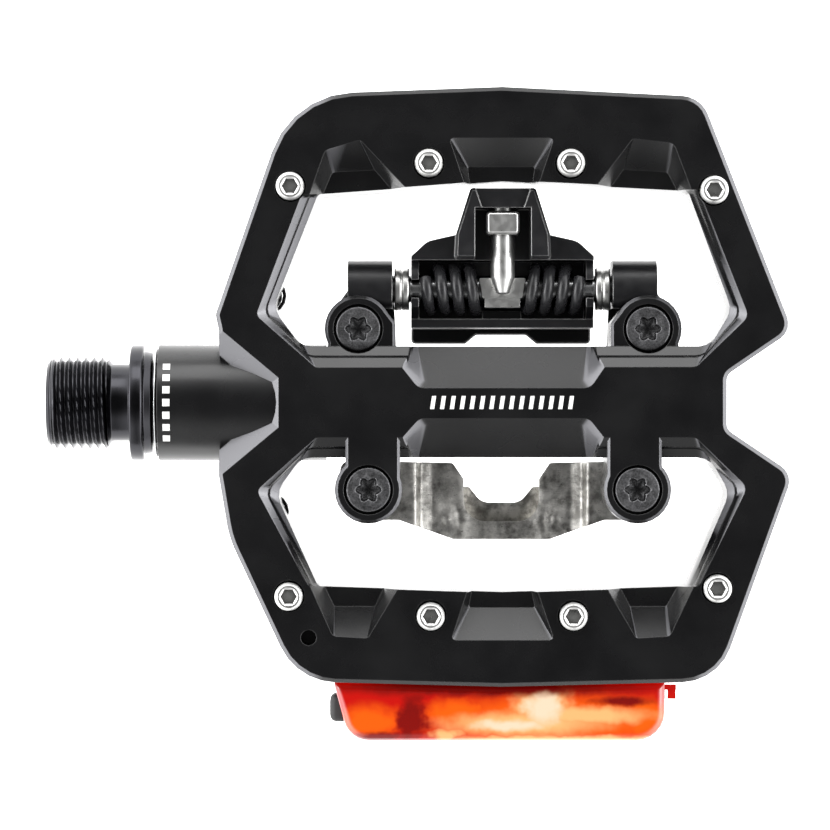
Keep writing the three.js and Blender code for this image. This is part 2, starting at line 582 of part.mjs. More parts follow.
// ---- claw and its tension screw ----
function claw() {
  const left = middle - 14.1;
  const right = middle + 14.1;
  const floorLow = -10.7;
  const floorHigh = -8.9;
  const wallFront = 11.6;
  const wallBack = 13.0;
  const tailEnd = 32.9;
  const base = rounded([[left, wallFront, 0.4], [right, wallFront, 0.4], [right, 22.4, 0.6],
    [middle + 11.6, 24.9, 2.5], [middle + 7.2, 25.9, 1], [middle + 5, tailEnd, 0.5],
    [middle - 5, tailEnd, 0.5], [middle - 7.2, 25.9, 1], [middle - 11.6, 24.9, 2.5], [left, 22.4, 0.6]]);
  const backWall = rounded([[left, 22.0], [right, 22.0], [right, 22.6, 0.2],
    [middle + 11.6, 24.9, 2.5], [middle + 7.2, 25.9], [middle - 7.2, 25.9],
    [middle - 11.6, 24.9, 2.5], [left, 22.6, 0.2]]);
  const tail = rounded([[middle - 7.4, 22.1, 0.5], [middle + 7.4, 22.1, 0.5], [middle + 7.2, 25.9, 1],
    [middle + 5, tailEnd, 0.5], [middle - 5, tailEnd, 0.5], [middle - 7.2, 25.9, 1]]);
  const lip = rounded([[left, 9.3, 0.6], [middle - 5.6, 9.3, 0.3], [middle - 3.9, 10.7, 0.3],
    [middle + 3.9, 10.7, 0.3], [middle + 5.6, 9.3, 0.3], [right, 9.3, 0.6], [right, wallBack, 0.4],
    [left, wallBack, 0.4]]);
  const cheek = rounded([[wallFront, lipTop - 0.2], [wallBack, lipTop - 0.2],
    [22.6, floorLow, 2], [22.6, -1.2, 3], [14.4, 0, 3.4], [12.6, -4, 1.5], [wallFront, -6.5, 1]]);
  const cheeks = [prismX(cheek, left, left + 1.2), prismX(cheek, right - 1.2, right)];
  const spine = box(middle - 3, middle + 3, wallBack - 0.3, 14.9, -9.5, -6.9);
  const body = join(
    prism(base, floorLow, floorHigh),
    prism(backWall, floorHigh - 0.5, 0.1),
    prism(tail, floorHigh - 0.5, 4.9, 0.4),
    box(left, right, wallFront, wallBack, lipTop - 0.5, -2.7),
    prism(lip, lipBottom, lipTop, 0.25),
    ...cheeks, spine);
  const eye = rodX(clawAxleRadius + gap, left - 1, right + 1, 16, clawAxisY, clawAxisZ);
  const eyeMouth = box(left - 1, right + 1, clawAxisY - 1.4, clawAxisY + 1.4, clawAxisZ, 3);
  const springRoom = rodX(springRadius + springWire / 2 + 0.35, left + 1.2, right - 1.2, 20,
    clawAxisY, clawAxisZ);
  const channel = box(middle - 4.3, middle + 4.3, 18, 29.9, -2.3, 6);
  const screwHole = rodY(tensionScrewRadius + gap, 25, 34, middle, tensionScrewZ, 14);
  const headRecess = rodY(tensionHeadRadius + gap, 31, 34, middle, tensionScrewZ, 16);
  const tongue = prism([[middle - 4.4, 33.3], [middle - 3.1, 29.5], [middle + 3.1, 29.5],
    [middle + 4.4, 33.3]].map(([x, y]) => new THREE.Vector2(x, y)).reverse(), 4.0, 6);
  // the tail's underside slopes up to its end, so that it clears the rail as the claw opens
  const tailSlope = prismX([[28.6, floorLow - 1], [34, floorLow - 1], [34, -2.6], [tailEnd, -2.6]]
    .map(([y, z]) => new THREE.Vector2(y, z)), left, right);
  return cut(body, eye, eyeMouth, springRoom, channel, screwHole, headRecess, tongue, tailSlope);
}

function springBridge() {
  const sheet = 0.6;
  const top = clawAxisZ + clawAxleRadius + 0.15 + sheet;
  const saddle = prism(rounded([[middle - 3.1, 16.1, 0.3], [middle + 3.1, 16.1, 0.3],
    [middle + 3.7, 19.3, 0.3], [middle - 3.7, 19.3, 0.3]]), top - sheet, top, 0.12);
  const frontLeg = box(middle - 2.7, middle + 2.7, 14.7, 15.25, -6.3, top - 0.1);
  const link = box(middle - 2.7, middle + 2.7, 15, 16.4, top - sheet + 0.1, top - 0.1);
  return join(saddle, frontLeg, link);
}

function tensionParts() {
  const shank = rodY(tensionScrewRadius, 18.5, 31.4, middle, tensionScrewZ, 12);
  const head = rodY(tensionHeadRadius, 31.25, 32.7, middle, tensionScrewZ, 20);
  const tip = solid(new THREE.SphereGeometry(tensionScrewRadius, 12, 6)
    .translate(middle, 18.6, tensionScrewZ));
  const socket = solid(new THREE.CylinderGeometry(1.55, 1.55, 2, 6).translate(middle, 32.6, tensionScrewZ));
  add(clawGroup, 'tension_screw', cut(join(shank, head, tip), socket), brightSteel);
  const nut = cut(
    prism(rounded([[middle - 2.6, 25.8, 0.5], [middle + 2.6, 25.8, 0.5], [middle + 2.6, 29.4, 0.5],
      [middle - 2.6, 29.4, 0.5]]), -2, 3.7, 0.4),
    rodY(tensionScrewRadius + gap, 25, 30, middle, tensionScrewZ, 16));
  add(clawGroup, 'tension_nut', nut, brightSteel);
}

// ---- rear light ----
function lightLens() {
  const inner = lightInner;
  const outside = rounded([[31.2, inner + 0.7], [33.6, lightOuter, 4], [57, lightOuter],
    [82, lightOuter, 4.4], [82, inner + 0.7], [57, inner]], 4);
  const inside = rounded([[34.2, inner + 1], [35.6, lightOuter + 1.4, 2],
    [80.6, lightOuter + 1.4, 3], [80.6, inner + 1]], 3);
  const shell = cut(prism(outside, -lightHalfHeight, lightHalfHeight, 0.8),
    prism(inside, -lightHalfHeight + 1.3, lightHalfHeight - 1.3));
  const buttonBore = box(30, 35, -49.4, -44.4, -2.9, 2.9);
  const tab = join(box(81.4, 83.8, inner - 0.6, inner + 0.2, -2.6, 2.6),
    box(82.5, 83.8, inner - 2, inner + 0.2, -2.6, 2.6));
  return join(cut(shell, buttonBore), tab);
}

function rearLight() {
  add(lightGroup, 'light_lens', lightLens(), redLens);
  const tongue = box(34.7, 80.2, -43.9, -36.9, -4.1, 4.1);
  const collar = prism(rounded([[35.3, -45.4, 0.2], [79.9, -45.4, 0.2], [79.9, -43.7, 0.2],
    [35.3, -43.7, 0.2]]), -4, 4);
  const pocket = box(37, 78, -46, -38.2, -2.9, 2.9);
  add(lightGroup, 'light_carrier', cut(join(tongue, collar), pocket), blackNylon);
  add(lightGroup, 'light_cell', prism(rounded([[38, -43.4, 0.8], [66, -43.4, 0.8], [66, -38.6, 0.8],
    [38, -38.6, 0.8]]), -2.5, 2.5, 0.5), cellSleeve);
  add(lightGroup, 'charging_socket', box(69, 77, -45.2, -39.5, -1.6, 1.6), brightSteel);
  add(lightGroup, 'light_board', box(36.6, 79.6, -46.8, -45.8, -3.8, 3.8), circuitGreen);
  [49.5, 63.4, 75].forEach((x, i) =>
    add(lightGroup, `light_diode_${i + 1}`,
      cut(box(x - 1.6, x + 1.6, -48.2, -47.1, -1.6, 1.6),
        rodY(1.1, -48.6, -47.8, x, 0, 12)), warmWhite));
  add(lightGroup, 'light_button', join(box(30.6, 33.2, -49.1, -44.7, -2.6, 2.6),
    box(33, 34.1, -48.5, -45.8, -1.8, 1.8)), blackRubber);
}

// ---- assembly ----
spindleUnit();
add(platformGroup, 'platform', platform(), satinBlackPaint);
fasteners();
add(platformGroup, 'claw_bracket', clawBracket(), blackSteel);
add(platformGroup, 'cleat_plate', cleatPlate(), brightSteel);
clampAxle();
clampSprings();
add(clawGroup, 'claw', claw(), blackSteel);
add(clawGroup, 'spring_bridge', springBridge(), brightSteel);
tensionParts();
rearLight();

export default pedal;
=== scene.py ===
import math
import bmesh
import bpy
import numpy as np
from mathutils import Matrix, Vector


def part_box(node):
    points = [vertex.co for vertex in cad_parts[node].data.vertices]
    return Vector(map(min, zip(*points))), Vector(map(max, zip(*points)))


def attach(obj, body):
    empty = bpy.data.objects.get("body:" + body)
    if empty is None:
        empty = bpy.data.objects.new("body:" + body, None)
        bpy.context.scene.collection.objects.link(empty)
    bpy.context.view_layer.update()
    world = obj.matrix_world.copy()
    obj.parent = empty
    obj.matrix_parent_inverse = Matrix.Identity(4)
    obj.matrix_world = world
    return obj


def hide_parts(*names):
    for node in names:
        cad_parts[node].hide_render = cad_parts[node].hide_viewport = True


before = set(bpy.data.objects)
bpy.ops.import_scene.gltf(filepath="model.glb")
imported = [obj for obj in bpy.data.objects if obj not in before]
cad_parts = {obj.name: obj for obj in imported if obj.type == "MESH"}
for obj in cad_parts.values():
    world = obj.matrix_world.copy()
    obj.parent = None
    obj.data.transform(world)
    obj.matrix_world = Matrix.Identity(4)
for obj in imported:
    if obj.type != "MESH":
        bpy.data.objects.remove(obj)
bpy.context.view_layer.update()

scene = bpy.context.scene
mm = 0.001
print("frame loaded")


def linear(hexColour):
    # sRGB hex to the linear colour that a shader socket takes
    channels = [int(hexColour[i:i + 2], 16) / 255 for i in (1, 3, 5)]
    return [c / 12.92 if c <= 0.04045 else ((c + 0.055) / 1.055) ** 2.4 for c in channels] + [1.0]


def perMm(size):
    # the texture scale that makes a pattern repeat about every size mm
    return 1 / (size * mm)


def spread(low, high, fromLow=0.3, fromHigh=0.7):
    # the map range that takes the middle of a noise to low and high
    return {"From Min": fromLow, "From Max": fromHigh, "To Min": low, "To Max": high}


def addNode(tree, kind, inputs=None, out=None, **settings):
    # a shader node with its settings, constants and links; gives the node, or its output called out
    made = tree.nodes.new("ShaderNode" + kind)
    for name, value in settings.items():
        setattr(made, name, value)
    for name, value in (inputs or {}).items():
        if isinstance(value, bpy.types.NodeSocket):
            tree.links.new(value, made.inputs[name])
        else:
            made.inputs[name].default_value = value
    return made if out is None else made.outputs[out]


def startMaterial(name):
    made = bpy.data.materials.new(name)
    made.use_nodes = True
    made.node_tree.nodes.clear()
    return made, made.node_tree, addNode(made.node_tree, "TexCoord", out="Object")


def endMaterial(tree, inputs):
    shader = addNode(tree, "BsdfPrincipled", inputs, "BSDF")
    addNode(tree, "OutputMaterial", {"Surface": shader})


def grained(tree, height, depthMm, edgeMm=0.0):
    # a grain of a real depth, laid over edges that the shading rounds by edgeMm
    inputs = {"Height": height, "Distance": depthMm * mm, "Strength": 1.0}
    if edgeMm:
        inputs["Normal"] = addNode(tree, "Bevel", {"Radius": edgeMm * mm}, "Normal", samples=6)
    return addNode(tree, "Bump", inputs, "Normal")


# facetSlope is the upright part of the normal of a facet that gets a painted highlight; cloudMm and peelMm are
# the paint's two grains
castingLook = {"deep": "#060607", "light": "#0b0b0c", "rough": (0.24, 0.30), "cloudMm": 9, "peelMm": 0.4,
               "peelDepthMm": 0.003, "edgeMm": 0.18, "facetSlope": 0.75, "facetMetal": 0.5,
               "facetHighlight": "#606063"}


def paintedCasting():
    # die-cast aluminium under satin black powder paint: near black, with a fine orange peel and a painted
    # highlight on slanted facets
    look = castingLook
    made, tree, place = startMaterial("satinBlackPaintedCasting")
    cloud = addNode(tree, "TexNoise", {"Vector": place, "Scale": perMm(look["cloudMm"]), "Detail": 3}, "Fac")
    peel = addNode(tree, "TexNoise", {"Vector": place, "Scale": perMm(look["peelMm"]), "Detail": 2}, "Fac")
    share = addNode(tree, "MapRange", {"Value": cloud, **spread(0, 1)}, "Result")
    paint = addNode(tree, "Mix", {"Factor": share, 6: linear(look["deep"]), 7: linear(look["light"])}, 2,
                    data_type="RGBA")
    # painted highlight: slanted facets that face along X get a lighter, partly metallic colour for the side
    # light they catch; the share is 1 on a slope of about 30 to 50 degrees
    facing = addNode(tree, "SeparateXYZ", {"Vector": addNode(tree, "TexCoord", out="Normal")})
    slope = addNode(tree, "Math", {0: facing.outputs["Z"], 1: look["facetSlope"]}, "Value",
                    operation="SUBTRACT")
    offSlope = addNode(tree, "Math", {0: slope}, "Value", operation="ABSOLUTE")
    slanted = addNode(tree, "MapRange", {"Value": offSlope, **spread(0, 1, 0.2, 0.14)}, "Result")
    alongX = addNode(tree, "Math", {0: facing.outputs["X"]}, "Value", operation="ABSOLUTE")
    sideways = addNode(tree, "MapRange", {"Value": alongX, **spread(0, 1, 0.16, 0.3)}, "Result")
    facet = addNode(tree, "Math", {0: slanted, 1: sideways}, "Value", operation="MULTIPLY")
    colour = addNode(tree, "Mix", {"Factor": facet, 6: paint, 7: linear(look["facetHighlight"])}, 2,
                     data_type="RGBA")
    metal = addNode(tree, "Math", {0: facet, 1: look["facetMetal"]}, "Value", operation="MULTIPLY")
    rough = addNode(tree, "MapRange", {"Value": cloud, **spread(*look["rough"])}, "Result")
    endMaterial(tree, {"Base Color": colour, "Metallic": metal, "Roughness": rough, "IOR": 1.5,
                       "Normal": grained(tree, peel, look["peelDepthMm"], look["edgeMm"])})
    return made


# ringMm is the lathe's feed, drawn coarser than it is so that it shows
platedLook = {"tone": "#37373a", "rough": (0.14, 0.24), "smearMm": 2.5, "ringMm": 0.6, "ringDepthMm": 0.0006}


def blackPlatedSteel():
    # turned steel under gloss black plating: dark mirror with faint lathe rings
    look = platedLook
    made, tree, place = startMaterial("glossBlackPlatedSteel")
    rings = addNode(tree, "TexWave", {"Vector": place, "Scale": perMm(look["ringMm"]), "Distortion": 0.4,
                                      "Detail": 1.0}, "Fac", wave_type="BANDS", bands_direction="X")
    smear = addNode(tree, "TexNoise", {"Vector": place, "Scale": perMm(look["smearMm"]), "Detail": 3}, "Fac")
    rough = addNode(tree, "MapRange", {"Value": smear, **spread(*look["rough"])}, "Result")
    endMaterial(tree, {"Base Color": linear(look["tone"]), "Metallic": 1.0, "Roughness": rough,
                       "Normal": grained(tree, rings, look["ringDepthMm"])})
    return made


def paintedRecessShade(tree, colour, reachMm=1.2, least=0.12):
    # painted shade in recesses: the colour falls off where the surface is closed in
    openness = addNode(tree, "AmbientOcclusion", {"Distance": reachMm * mm}, "AO", samples=6)
    share = addNode(tree, "MapRange", {"Value": openness, **spread(least, 1, 0.25, 0.8)}, "Result")
    return addNode(tree, "VectorMath", {0: colour, "Scale": share}, "Vector", operation="SCALE")


brightLook = {"brightZincSteel": {"tone": "#e0e0de", "rough": (0.26, 0.42)},
              "groundSteel": {"tone": "#d2d3d4", "rough": (0.14, 0.26)},
              "bearingSteel": {"tone": "#b4b7ba", "rough": (0.1, 0.2)},
              "sinteredBronze": {"tone": "#a87a45", "rough": (0.35, 0.5)}}


def brightMetal(name):
    # bright zinc on machined steel and its like: pale mirror, slightly cloudy, with painted shade darkening
    # its corners
    tone, rough = linear(brightLook[name]["tone"]), brightLook[name]["rough"]
    dull = [0.75 * c for c in tone[:3]] + [1.0]
    made, tree, place = startMaterial(name)
    cloud = addNode(tree, "TexNoise", {"Vector": place, "Scale": perMm(1.2), "Detail": 4}, "Fac")
    grain = addNode(tree, "TexNoise", {"Vector": place, "Scale": perMm(0.3), "Detail": 3}, "Fac")
    share = addNode(tree, "MapRange", {"Value": cloud, **spread(0, 1)}, "Result")
    colour = addNode(tree, "Mix", {"Factor": share, 6: tone, 7: dull}, 2, data_type="RGBA")
    rough = addNode(tree, "MapRange", {"Value": cloud, **spread(*rough)}, "Result")
    endMaterial(tree, {"Base Color": paintedRecessShade(tree, colour), "Metallic": 1.0, "Roughness": rough,
                       "Normal": grained(tree, grain, 0.002, edgeMm=0.08)})
    return made


tumbledLook = {"stain": "#8b8985", "clean": "#e4e2dd", "rough": (0.26, 0.4), "stainMm": 2.2, "waveMm": 3.0,
               "scratchMm": 0.9, "depthMm": 0.12}


def tumbledSteel():
    # pressed stainless steel, tumbled: soft waves, grey stains and fine scratches
    look = tumbledLook
    made, tree, place = startMaterial("tumbledStainlessSteel")
    stains = addNode(tree, "TexNoise", {"Vector": place, "Scale": perMm(look["stainMm"]), "Detail": 4,
                                        "Roughness": 0.6}, "Fac")
    stretched = addNode(tree, "Mapping", {"Vector": place, "Scale": (1, 5, 1)}, "Vector")
    scratches = addNode(tree, "TexNoise", {"Vector": stretched, "Scale": perMm(look["scratchMm"]),
                                           "Detail": 3, "Roughness": 0.7}, "Fac")
    waves = addNode(tree, "TexNoise", {"Vector": place, "Scale": perMm(look["waveMm"]), "Detail": 1}, "Fac")
    share = addNode(tree, "MapRange", {"Value": stains, **spread(0, 1, 0.36, 0.6)}, "Result")
    colour = addNode(tree, "Mix", {"Factor": share, 6: linear(look["stain"]), 7: linear(look["clean"])}, 2,
                     data_type="RGBA")
    rough = addNode(tree, "MapRange", {"Value": scratches, **spread(*look["rough"])}, "Result")
    height = addNode(tree, "Math", {0: waves, 1: scratches}, "Value", operation="MULTIPLY")
    endMaterial(tree, {"Base Color": colour, "Metallic": 1.0, "Roughness": rough,
                       "Normal": grained(tree, height, look["depthMm"], edgeMm=0.2)})
    return made


def edgeWearAndHighlight(tree, reachMm, place):
    # 1 along rounded-off edges and 0 on flats: how far the shaded bevel turns away from the real face; it
    # marks bare metal from wear, which also stands in as a painted edge highlight
    soft = addNode(tree, "Bevel", {"Radius": reachMm * mm}, "Normal", samples=6)
    flat = addNode(tree, "NewGeometry", out="True Normal")
    same = addNode(tree, "VectorMath", {0: soft, 1: flat}, "Value", operation="DOT_PRODUCT")
    patches = addNode(tree, "TexNoise", {"Vector": place, "Scale": perMm(0.8), "Detail": 3}, "Fac")
    patchy = addNode(tree, "MapRange", {"Value": patches, **spread(0, 0.05)}, "Result")
    level = addNode(tree, "Math", {0: same, 1: patchy}, "Value", operation="ADD")
    return addNode(tree, "MapRange", {"Value": level, **spread(0, 1, 0.985, 0.86)}, "Result")


blackLook = {"blackOxideSteel": {"tone": "#151517", "rough": (0.30, 0.42), "wearAndHighlightMm": 0.3},
             "blackSpringWire": {"tone": "#29292b", "rough": (0.22, 0.34), "wearAndHighlightMm": 0.05}}


def blackOxide(name):
    # blackened steel: dull black with a low sheen, with bare metal along its edges from wear, the pale edges
    # partly a painted highlight
    look = blackLook[name]
    made, tree, place = startMaterial(name)
    wornAndLit = edgeWearAndHighlight(tree, look["wearAndHighlightMm"], place)
    cloud = addNode(tree, "TexNoise", {"Vector": place, "Scale": perMm(1.6), "Detail": 4}, "Fac")
    grain = addNode(tree, "TexNoise", {"Vector": place, "Scale": perMm(0.3), "Detail": 2}, "Fac")
    # pale metal on the edges: partly real wear, partly a painted highlight
    colour = addNode(tree, "Mix", {"Factor": wornAndLit, 6: linear(look["tone"]), 7: linear("#9a9a9a")}, 2,
                     data_type="RGBA")
    metal = addNode(tree, "MapRange", {"Value": wornAndLit, **spread(0.15, 1, 0, 1)}, "Result")
    rough = addNode(tree, "MapRange", {"Value": cloud, **spread(*look["rough"])}, "Result")
    endMaterial(tree, {"Base Color": colour, "Metallic": metal, "Roughness": rough,
                       "Normal": grained(tree, grain, 0.004, edgeMm=0.2)})
    return made


def darkZinc():
    # dark zinc screw heads: mid grey metal with a grainy plating, with painted shade making it black inside
    # the drive
    made, tree, place = startMaterial("darkZincScrews")
    grain = addNode(tree, "TexNoise", {"Vector": place, "Scale": perMm(0.25), "Detail": 3}, "Fac")
    cloud = addNode(tree, "TexNoise", {"Vector": place, "Scale": perMm(1.5), "Detail": 3}, "Fac")
    share = addNode(tree, "MapRange", {"Value": grain, **spread(0, 1)}, "Result")
    colour = addNode(tree, "Mix", {"Factor": share, 6: linear("#5e5e60"), 7: linear("#929294")}, 2,
                     data_type="RGBA")
    rough = addNode(tree, "MapRange", {"Value": cloud, **spread(0.28, 0.42)}, "Result")
    endMaterial(tree, {"Base Color": paintedRecessShade(tree, colour, 3.0, 0.02), "Metallic": 1.0,
                       "Roughness": rough, "Normal": grained(tree, grain, 0.004, edgeMm=0.1)})
    return made


plasticLook = {"mouldedRubber": {"tone": "#1d1d1e", "rough": 0.62, "grainMm": 0.25, "depthMm": 0.01},
               "mouldedNylon": {"tone": "#19191a", "rough": 0.5, "grainMm": 0.3, "depthMm": 0.005},
               "circuitBoard": {"tone": "#1f5a34", "rough": 0.35, "grainMm": 0.3, "depthMm": 0.005},
               "cellSleeve": {"tone": "#2f5f96", "rough": 0.3, "grainMm": 0.3, "depthMm": 0.005},
               "padPrintedInk": {"tone": "#d8d8d6", "rough": 0.4, "grainMm": 0.2, "depthMm": 0.002}}


def plainPlastic(name, edgeMm=0.1):
    # one even colour with a faint moulded grain and slightly uneven gloss
    look = plasticLook[name]
    made, tree, place = startMaterial(name)
    gloss = addNode(tree, "TexNoise", {"Vector": place, "Scale": perMm(2), "Detail": 3}, "Fac")
    grain = addNode(tree, "TexNoise", {"Vector": place, "Scale": perMm(look["grainMm"]), "Detail": 2}, "Fac")
    rough = addNode(tree, "MapRange", {"Value": gloss, **spread(look["rough"] - 0.06, look["rough"] + 0.06)},
                    "Result")
    endMaterial(tree, {"Base Color": linear(look["tone"]), "Roughness": rough, "IOR": 1.5,
                       "Normal": grained(tree, grain, look["depthMm"], edgeMm)})
    return made


# where the light shows through the lens: (x, y, reach along x, reach along y), in mm
lensLook = {
    "orange": [(65.0, -48.6, 20.0, 4.2), (36.6, -48.8, 5.4, 2.8), (79.0, -48.4, 5.0, 3.4),
               (50.0, -47.6, 5.0, 2.6)],
    "cream": [(63.4, -46.9, 5.0, 4.6), (60.0, -49.2, 13.0, 1.9), (70.0, -47.9, 10.0, 1.5),
              (48.6, -50.8, 2.6, 1.0), (66.0, -51.6, 18.0, 0.7)],
    "white": [(63.4, -46.6, 3.2, 3.0), (58.0, -49.4, 6.0, 0.9)],
    "dark": [(43.3, -48.6, 2.5, 5.0), (55.0, -43.6, 27.0, 1.5), (76.0, -45.7, 5.0, 0.9),
             (38.5, -51.2, 5.0, 0.9)],
    "tones": {"orange": "#ff6a06", "cream": "#ffce84", "white": "#fff1cf", "dark": "#560301"},
    "red": "#c40a02", "plastic": "#5c0502", "power": 0.95, "rippleMm": 2.2, "streakMm": (5.0, 1.1)}


def lightedLens():
    # clear red polycarbonate with lit diodes behind it: pale near them, then orange, then deep red
    look = lensLook
    made, tree, place = startMaterial("litRedPolycarbonate")
    ripple = addNode(tree, "TexNoise", {"Vector": place, "Scale": perMm(look["rippleMm"]), "Detail": 2},
                     "Color")
    shifted = addNode(tree, "VectorMath", {0: ripple, 1: (0.5, 0.5, 0.5)}, "Vector", operation="SUBTRACT")
    streak = [reach * mm for reach in look["streakMm"]] + [0]
    stretched = addNode(tree, "VectorMath", {0: shifted, 1: streak}, "Vector", operation="MULTIPLY")
    warped = addNode(tree, "VectorMath", {0: place, 1: stretched}, "Vector", operation="ADD")
    tone = linear(look["red"])
    for glow, hexTone in look["tones"].items():
        # each glow is 1 inside a blob and falls to 0 at its reach; the strongest blob wins
        total = 0.0
        for x, y, reachX, reachY in look[glow]:
            offset = addNode(tree, "VectorMath", {0: warped, 1: (x * mm, y * mm, 0)}, "Vector",
                             operation="SUBTRACT")
            scaled = addNode(tree, "VectorMath", {0: offset, 1: (perMm(reachX), perMm(reachY), 0)}, "Vector",
                             operation="MULTIPLY")
            length = addNode(tree, "VectorMath", {0: scaled}, "Value", operation="LENGTH")
            share = addNode(tree, "MapRange", {"Value": length, **spread(0, 1, 1.3, 0.35)}, "Result",
                            interpolation_type="SMOOTHSTEP")
            total = addNode(tree, "Math", {0: total, 1: share}, "Value", operation="MAXIMUM")
        tone = addNode(tree, "Mix", {"Factor": total, 6: tone, 7: linear(hexTone)}, 2, data_type="RGBA")
    endMaterial(tree, {"Base Color": linear(look["plastic"]), "Roughness": 0.1, "IOR": 1.58,
                       "Coat Weight": 0.5, "Coat Roughness": 0.03, "Emission Color": tone,
                       "Emission Strength": look["power"]})
    return made


def litDiode():
    # a moulded diode that is on: warm white, brighter than the lens in front of it
    made, tree, _ = startMaterial("litDiode")
    endMaterial(tree, {"Base Color": linear("#fff0c8"), "Roughness": 0.3,
                       "Emission Color": linear("#ffd9a0"), "Emission Strength": 6.0})
    return made


casting = paintedCasting()
glossBlack = blackPlatedSteel()
zinc, axleSteel, bearingSteel, bronze = (brightMetal(name) for name in brightLook)
steelPlate = tumbledSteel()
blackSteel, springSteel = (blackOxide(name) for name in blackLook)
screwSteel = darkZinc()
rubber, nylon, board, cellSleeve = (plainPlastic(name) for name in list(plasticLook)[:4])
whiteInk = plainPlastic("padPrintedInk", edgeMm=0)
litLens = lightedLens()
diode = litDiode()
print("materials made")


def finishPiece(piece, material, body, replaced=(), sharpAngle=35):
    # closed skin with outward faces, then the finish, the body it rides on and the nodes it stands for
    mesh = piece.data
    work = bmesh.new()
    work.from_mesh(mesh)
    bmesh.ops.remove_doubles(work, verts=work.verts, dist=2e-7)
    bmesh.ops.recalc_face_normals(work, faces=work.faces)
    work.to_mesh(mesh)
    work.free()
    mesh.polygons.foreach_set("use_smooth", np.ones(len(mesh.polygons), dtype=bool))
    mesh.set_sharp_from_angle(angle=math.radians(sharpAngle))
    mesh.materials.clear()
    mesh.materials.append(material)
    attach(piece, body)
    if replaced:
        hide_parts(*replaced)
    return piece


def meshObject(name, points, faces):
    mesh = bpy.data.meshes.new(name)
    mesh.from_pydata((np.asarray(points) * mm).tolist(), [], faces)
    piece = bpy.data.objects.new(name, mesh)
    scene.collection.objects.link(piece)
    return piece


def gridFaces(rows, columns, ringRows=False, ringColumns=True, start=0):
    # four-sided faces between neighbouring rows and columns of a grid of points
    index = np.arange(rows * columns).reshape(rows, columns) + start
    rowsHere = index if ringRows else index[:-1]
    rowsNext = np.roll(index, -1, axis=0) if ringRows else index[1:]
    if ringColumns:
        faces = np.stack([rowsHere, np.roll(rowsHere, -1, 1), np.roll(rowsNext, -1, 1), rowsNext], -1)
    else:
        faces = np.stack([rowsHere[:, :-1], rowsHere[:, 1:], rowsNext[:, 1:], rowsNext[:, :-1]], -1)
    return faces.reshape(-1, 4).tolist()


def rounded(corners, steps=4):
    # a path through corners (a, b, radius), each corner replaced by an arc of equal angle steps
    path = []
    for i, corner in enumerate(corners):
        at = np.array(corner[:2], float)
        radius = corner[2] if len(corner) > 2 else 0
        if not radius or i in (0, len(corners) - 1):
            path.append(at)
            continue
        back = np.array(corners[i - 1][:2]) - at
        ahead = np.array(corners[i + 1][:2]) - at
        back, ahead = back / np.linalg.norm(back), ahead / np.linalg.norm(ahead)
        half = math.acos(np.clip(back @ ahead, -1, 1)) / 2
        middle = (back + ahead) / np.linalg.norm(back + ahead)
        centre = at + middle * radius / math.sin(half)
        first = at + back * radius / math.tan(half) - centre
        last = at + ahead * radius / math.tan(half) - centre
        sweep = math.atan2(first[0] * last[1] - first[1] * last[0], first @ last)
        for t in np.linspace(0, sweep, steps + 1):
            turn = np.array([[math.cos(t), -math.sin(t)], [math.sin(t), math.cos(t)]])
            path.append(centre + turn @ first)
    return np.array(path)


def hexagon(angle):
    # distance to a hexagon's edge, as a share of the distance to its corners
    return math.cos(math.pi / 6) / np.cos(np.mod(angle, math.pi / 3) - math.pi / 6)


def sixLobes(angle):
    # a radius that swings in and out six times in one turn
    return 0.86 + 0.14 * np.cos(6 * angle)


# each axis with the two directions across it
axisFrames = {"x": ((1, 0, 0), (0, 1, 0), (0, 0, 1)), "y": ((0, 1, 0), (0, 0, 1), (1, 0, 0)),
              "z": ((0, 0, 1), (1, 0, 0), (0, 1, 0))}


def turnedPoints(profile, columns=96, axis="x", centre=(0, 0, 0), shape=None, shaped=None, radial=None):
    # point = centre + along * axis + radius * (cos v, sin v); where shaped is 1 the radius follows shape(v)
    profile = np.asarray(profile, float)
    v = np.linspace(0, 2 * math.pi, columns, endpoint=False)
    along = profile[:, :1] + 0 * v
    radius = profile[:, 1:2] + 0 * v
    if shape is not None:
        share = np.asarray(shaped, float)[:, None]
        radius = radius * (1 - share + share * shape(v)[None, :])
    if radial is not None:
        radius = radial(along, radius, v)
    main, side, up = (np.array(a, float) for a in axisFrames[axis])
    return (np.array(centre, float) + along[..., None] * main
            + (radius * np.cos(v))[..., None] * side + (radius * np.sin(v))[..., None] * up)


def turnedPiece(name, profile, material, body, replaced=(), ring=False, sharpAngle=35, **how):
    points = turnedPoints(profile, **how)
    rows, columns = points.shape[:2]
    piece = meshObject(name, points.reshape(-1, 3), gridFaces(rows, columns, ringRows=ring))
    return finishPiece(piece, material, body, replaced, sharpAngle=sharpAngle)


def sweptPoints(path, section, lean=(1, 0, 0)):
    # a section carried along a path: each frame is the path's direction and a fixed leaning vector
    path = np.asarray(path, float)
    forward = np.gradient(path, axis=0)
    forward /= np.linalg.norm(forward, axis=1, keepdims=True)
    side = np.asarray(lean, float) - forward * (forward @ np.asarray(lean, float))[:, None]
    side /= np.linalg.norm(side, axis=1, keepdims=True)
    up = np.cross(forward, side)
    return (path[:, None, :] + section[None, :, :1] * side[:, None, :]
            + section[None, :, 1:2] * up[:, None, :])


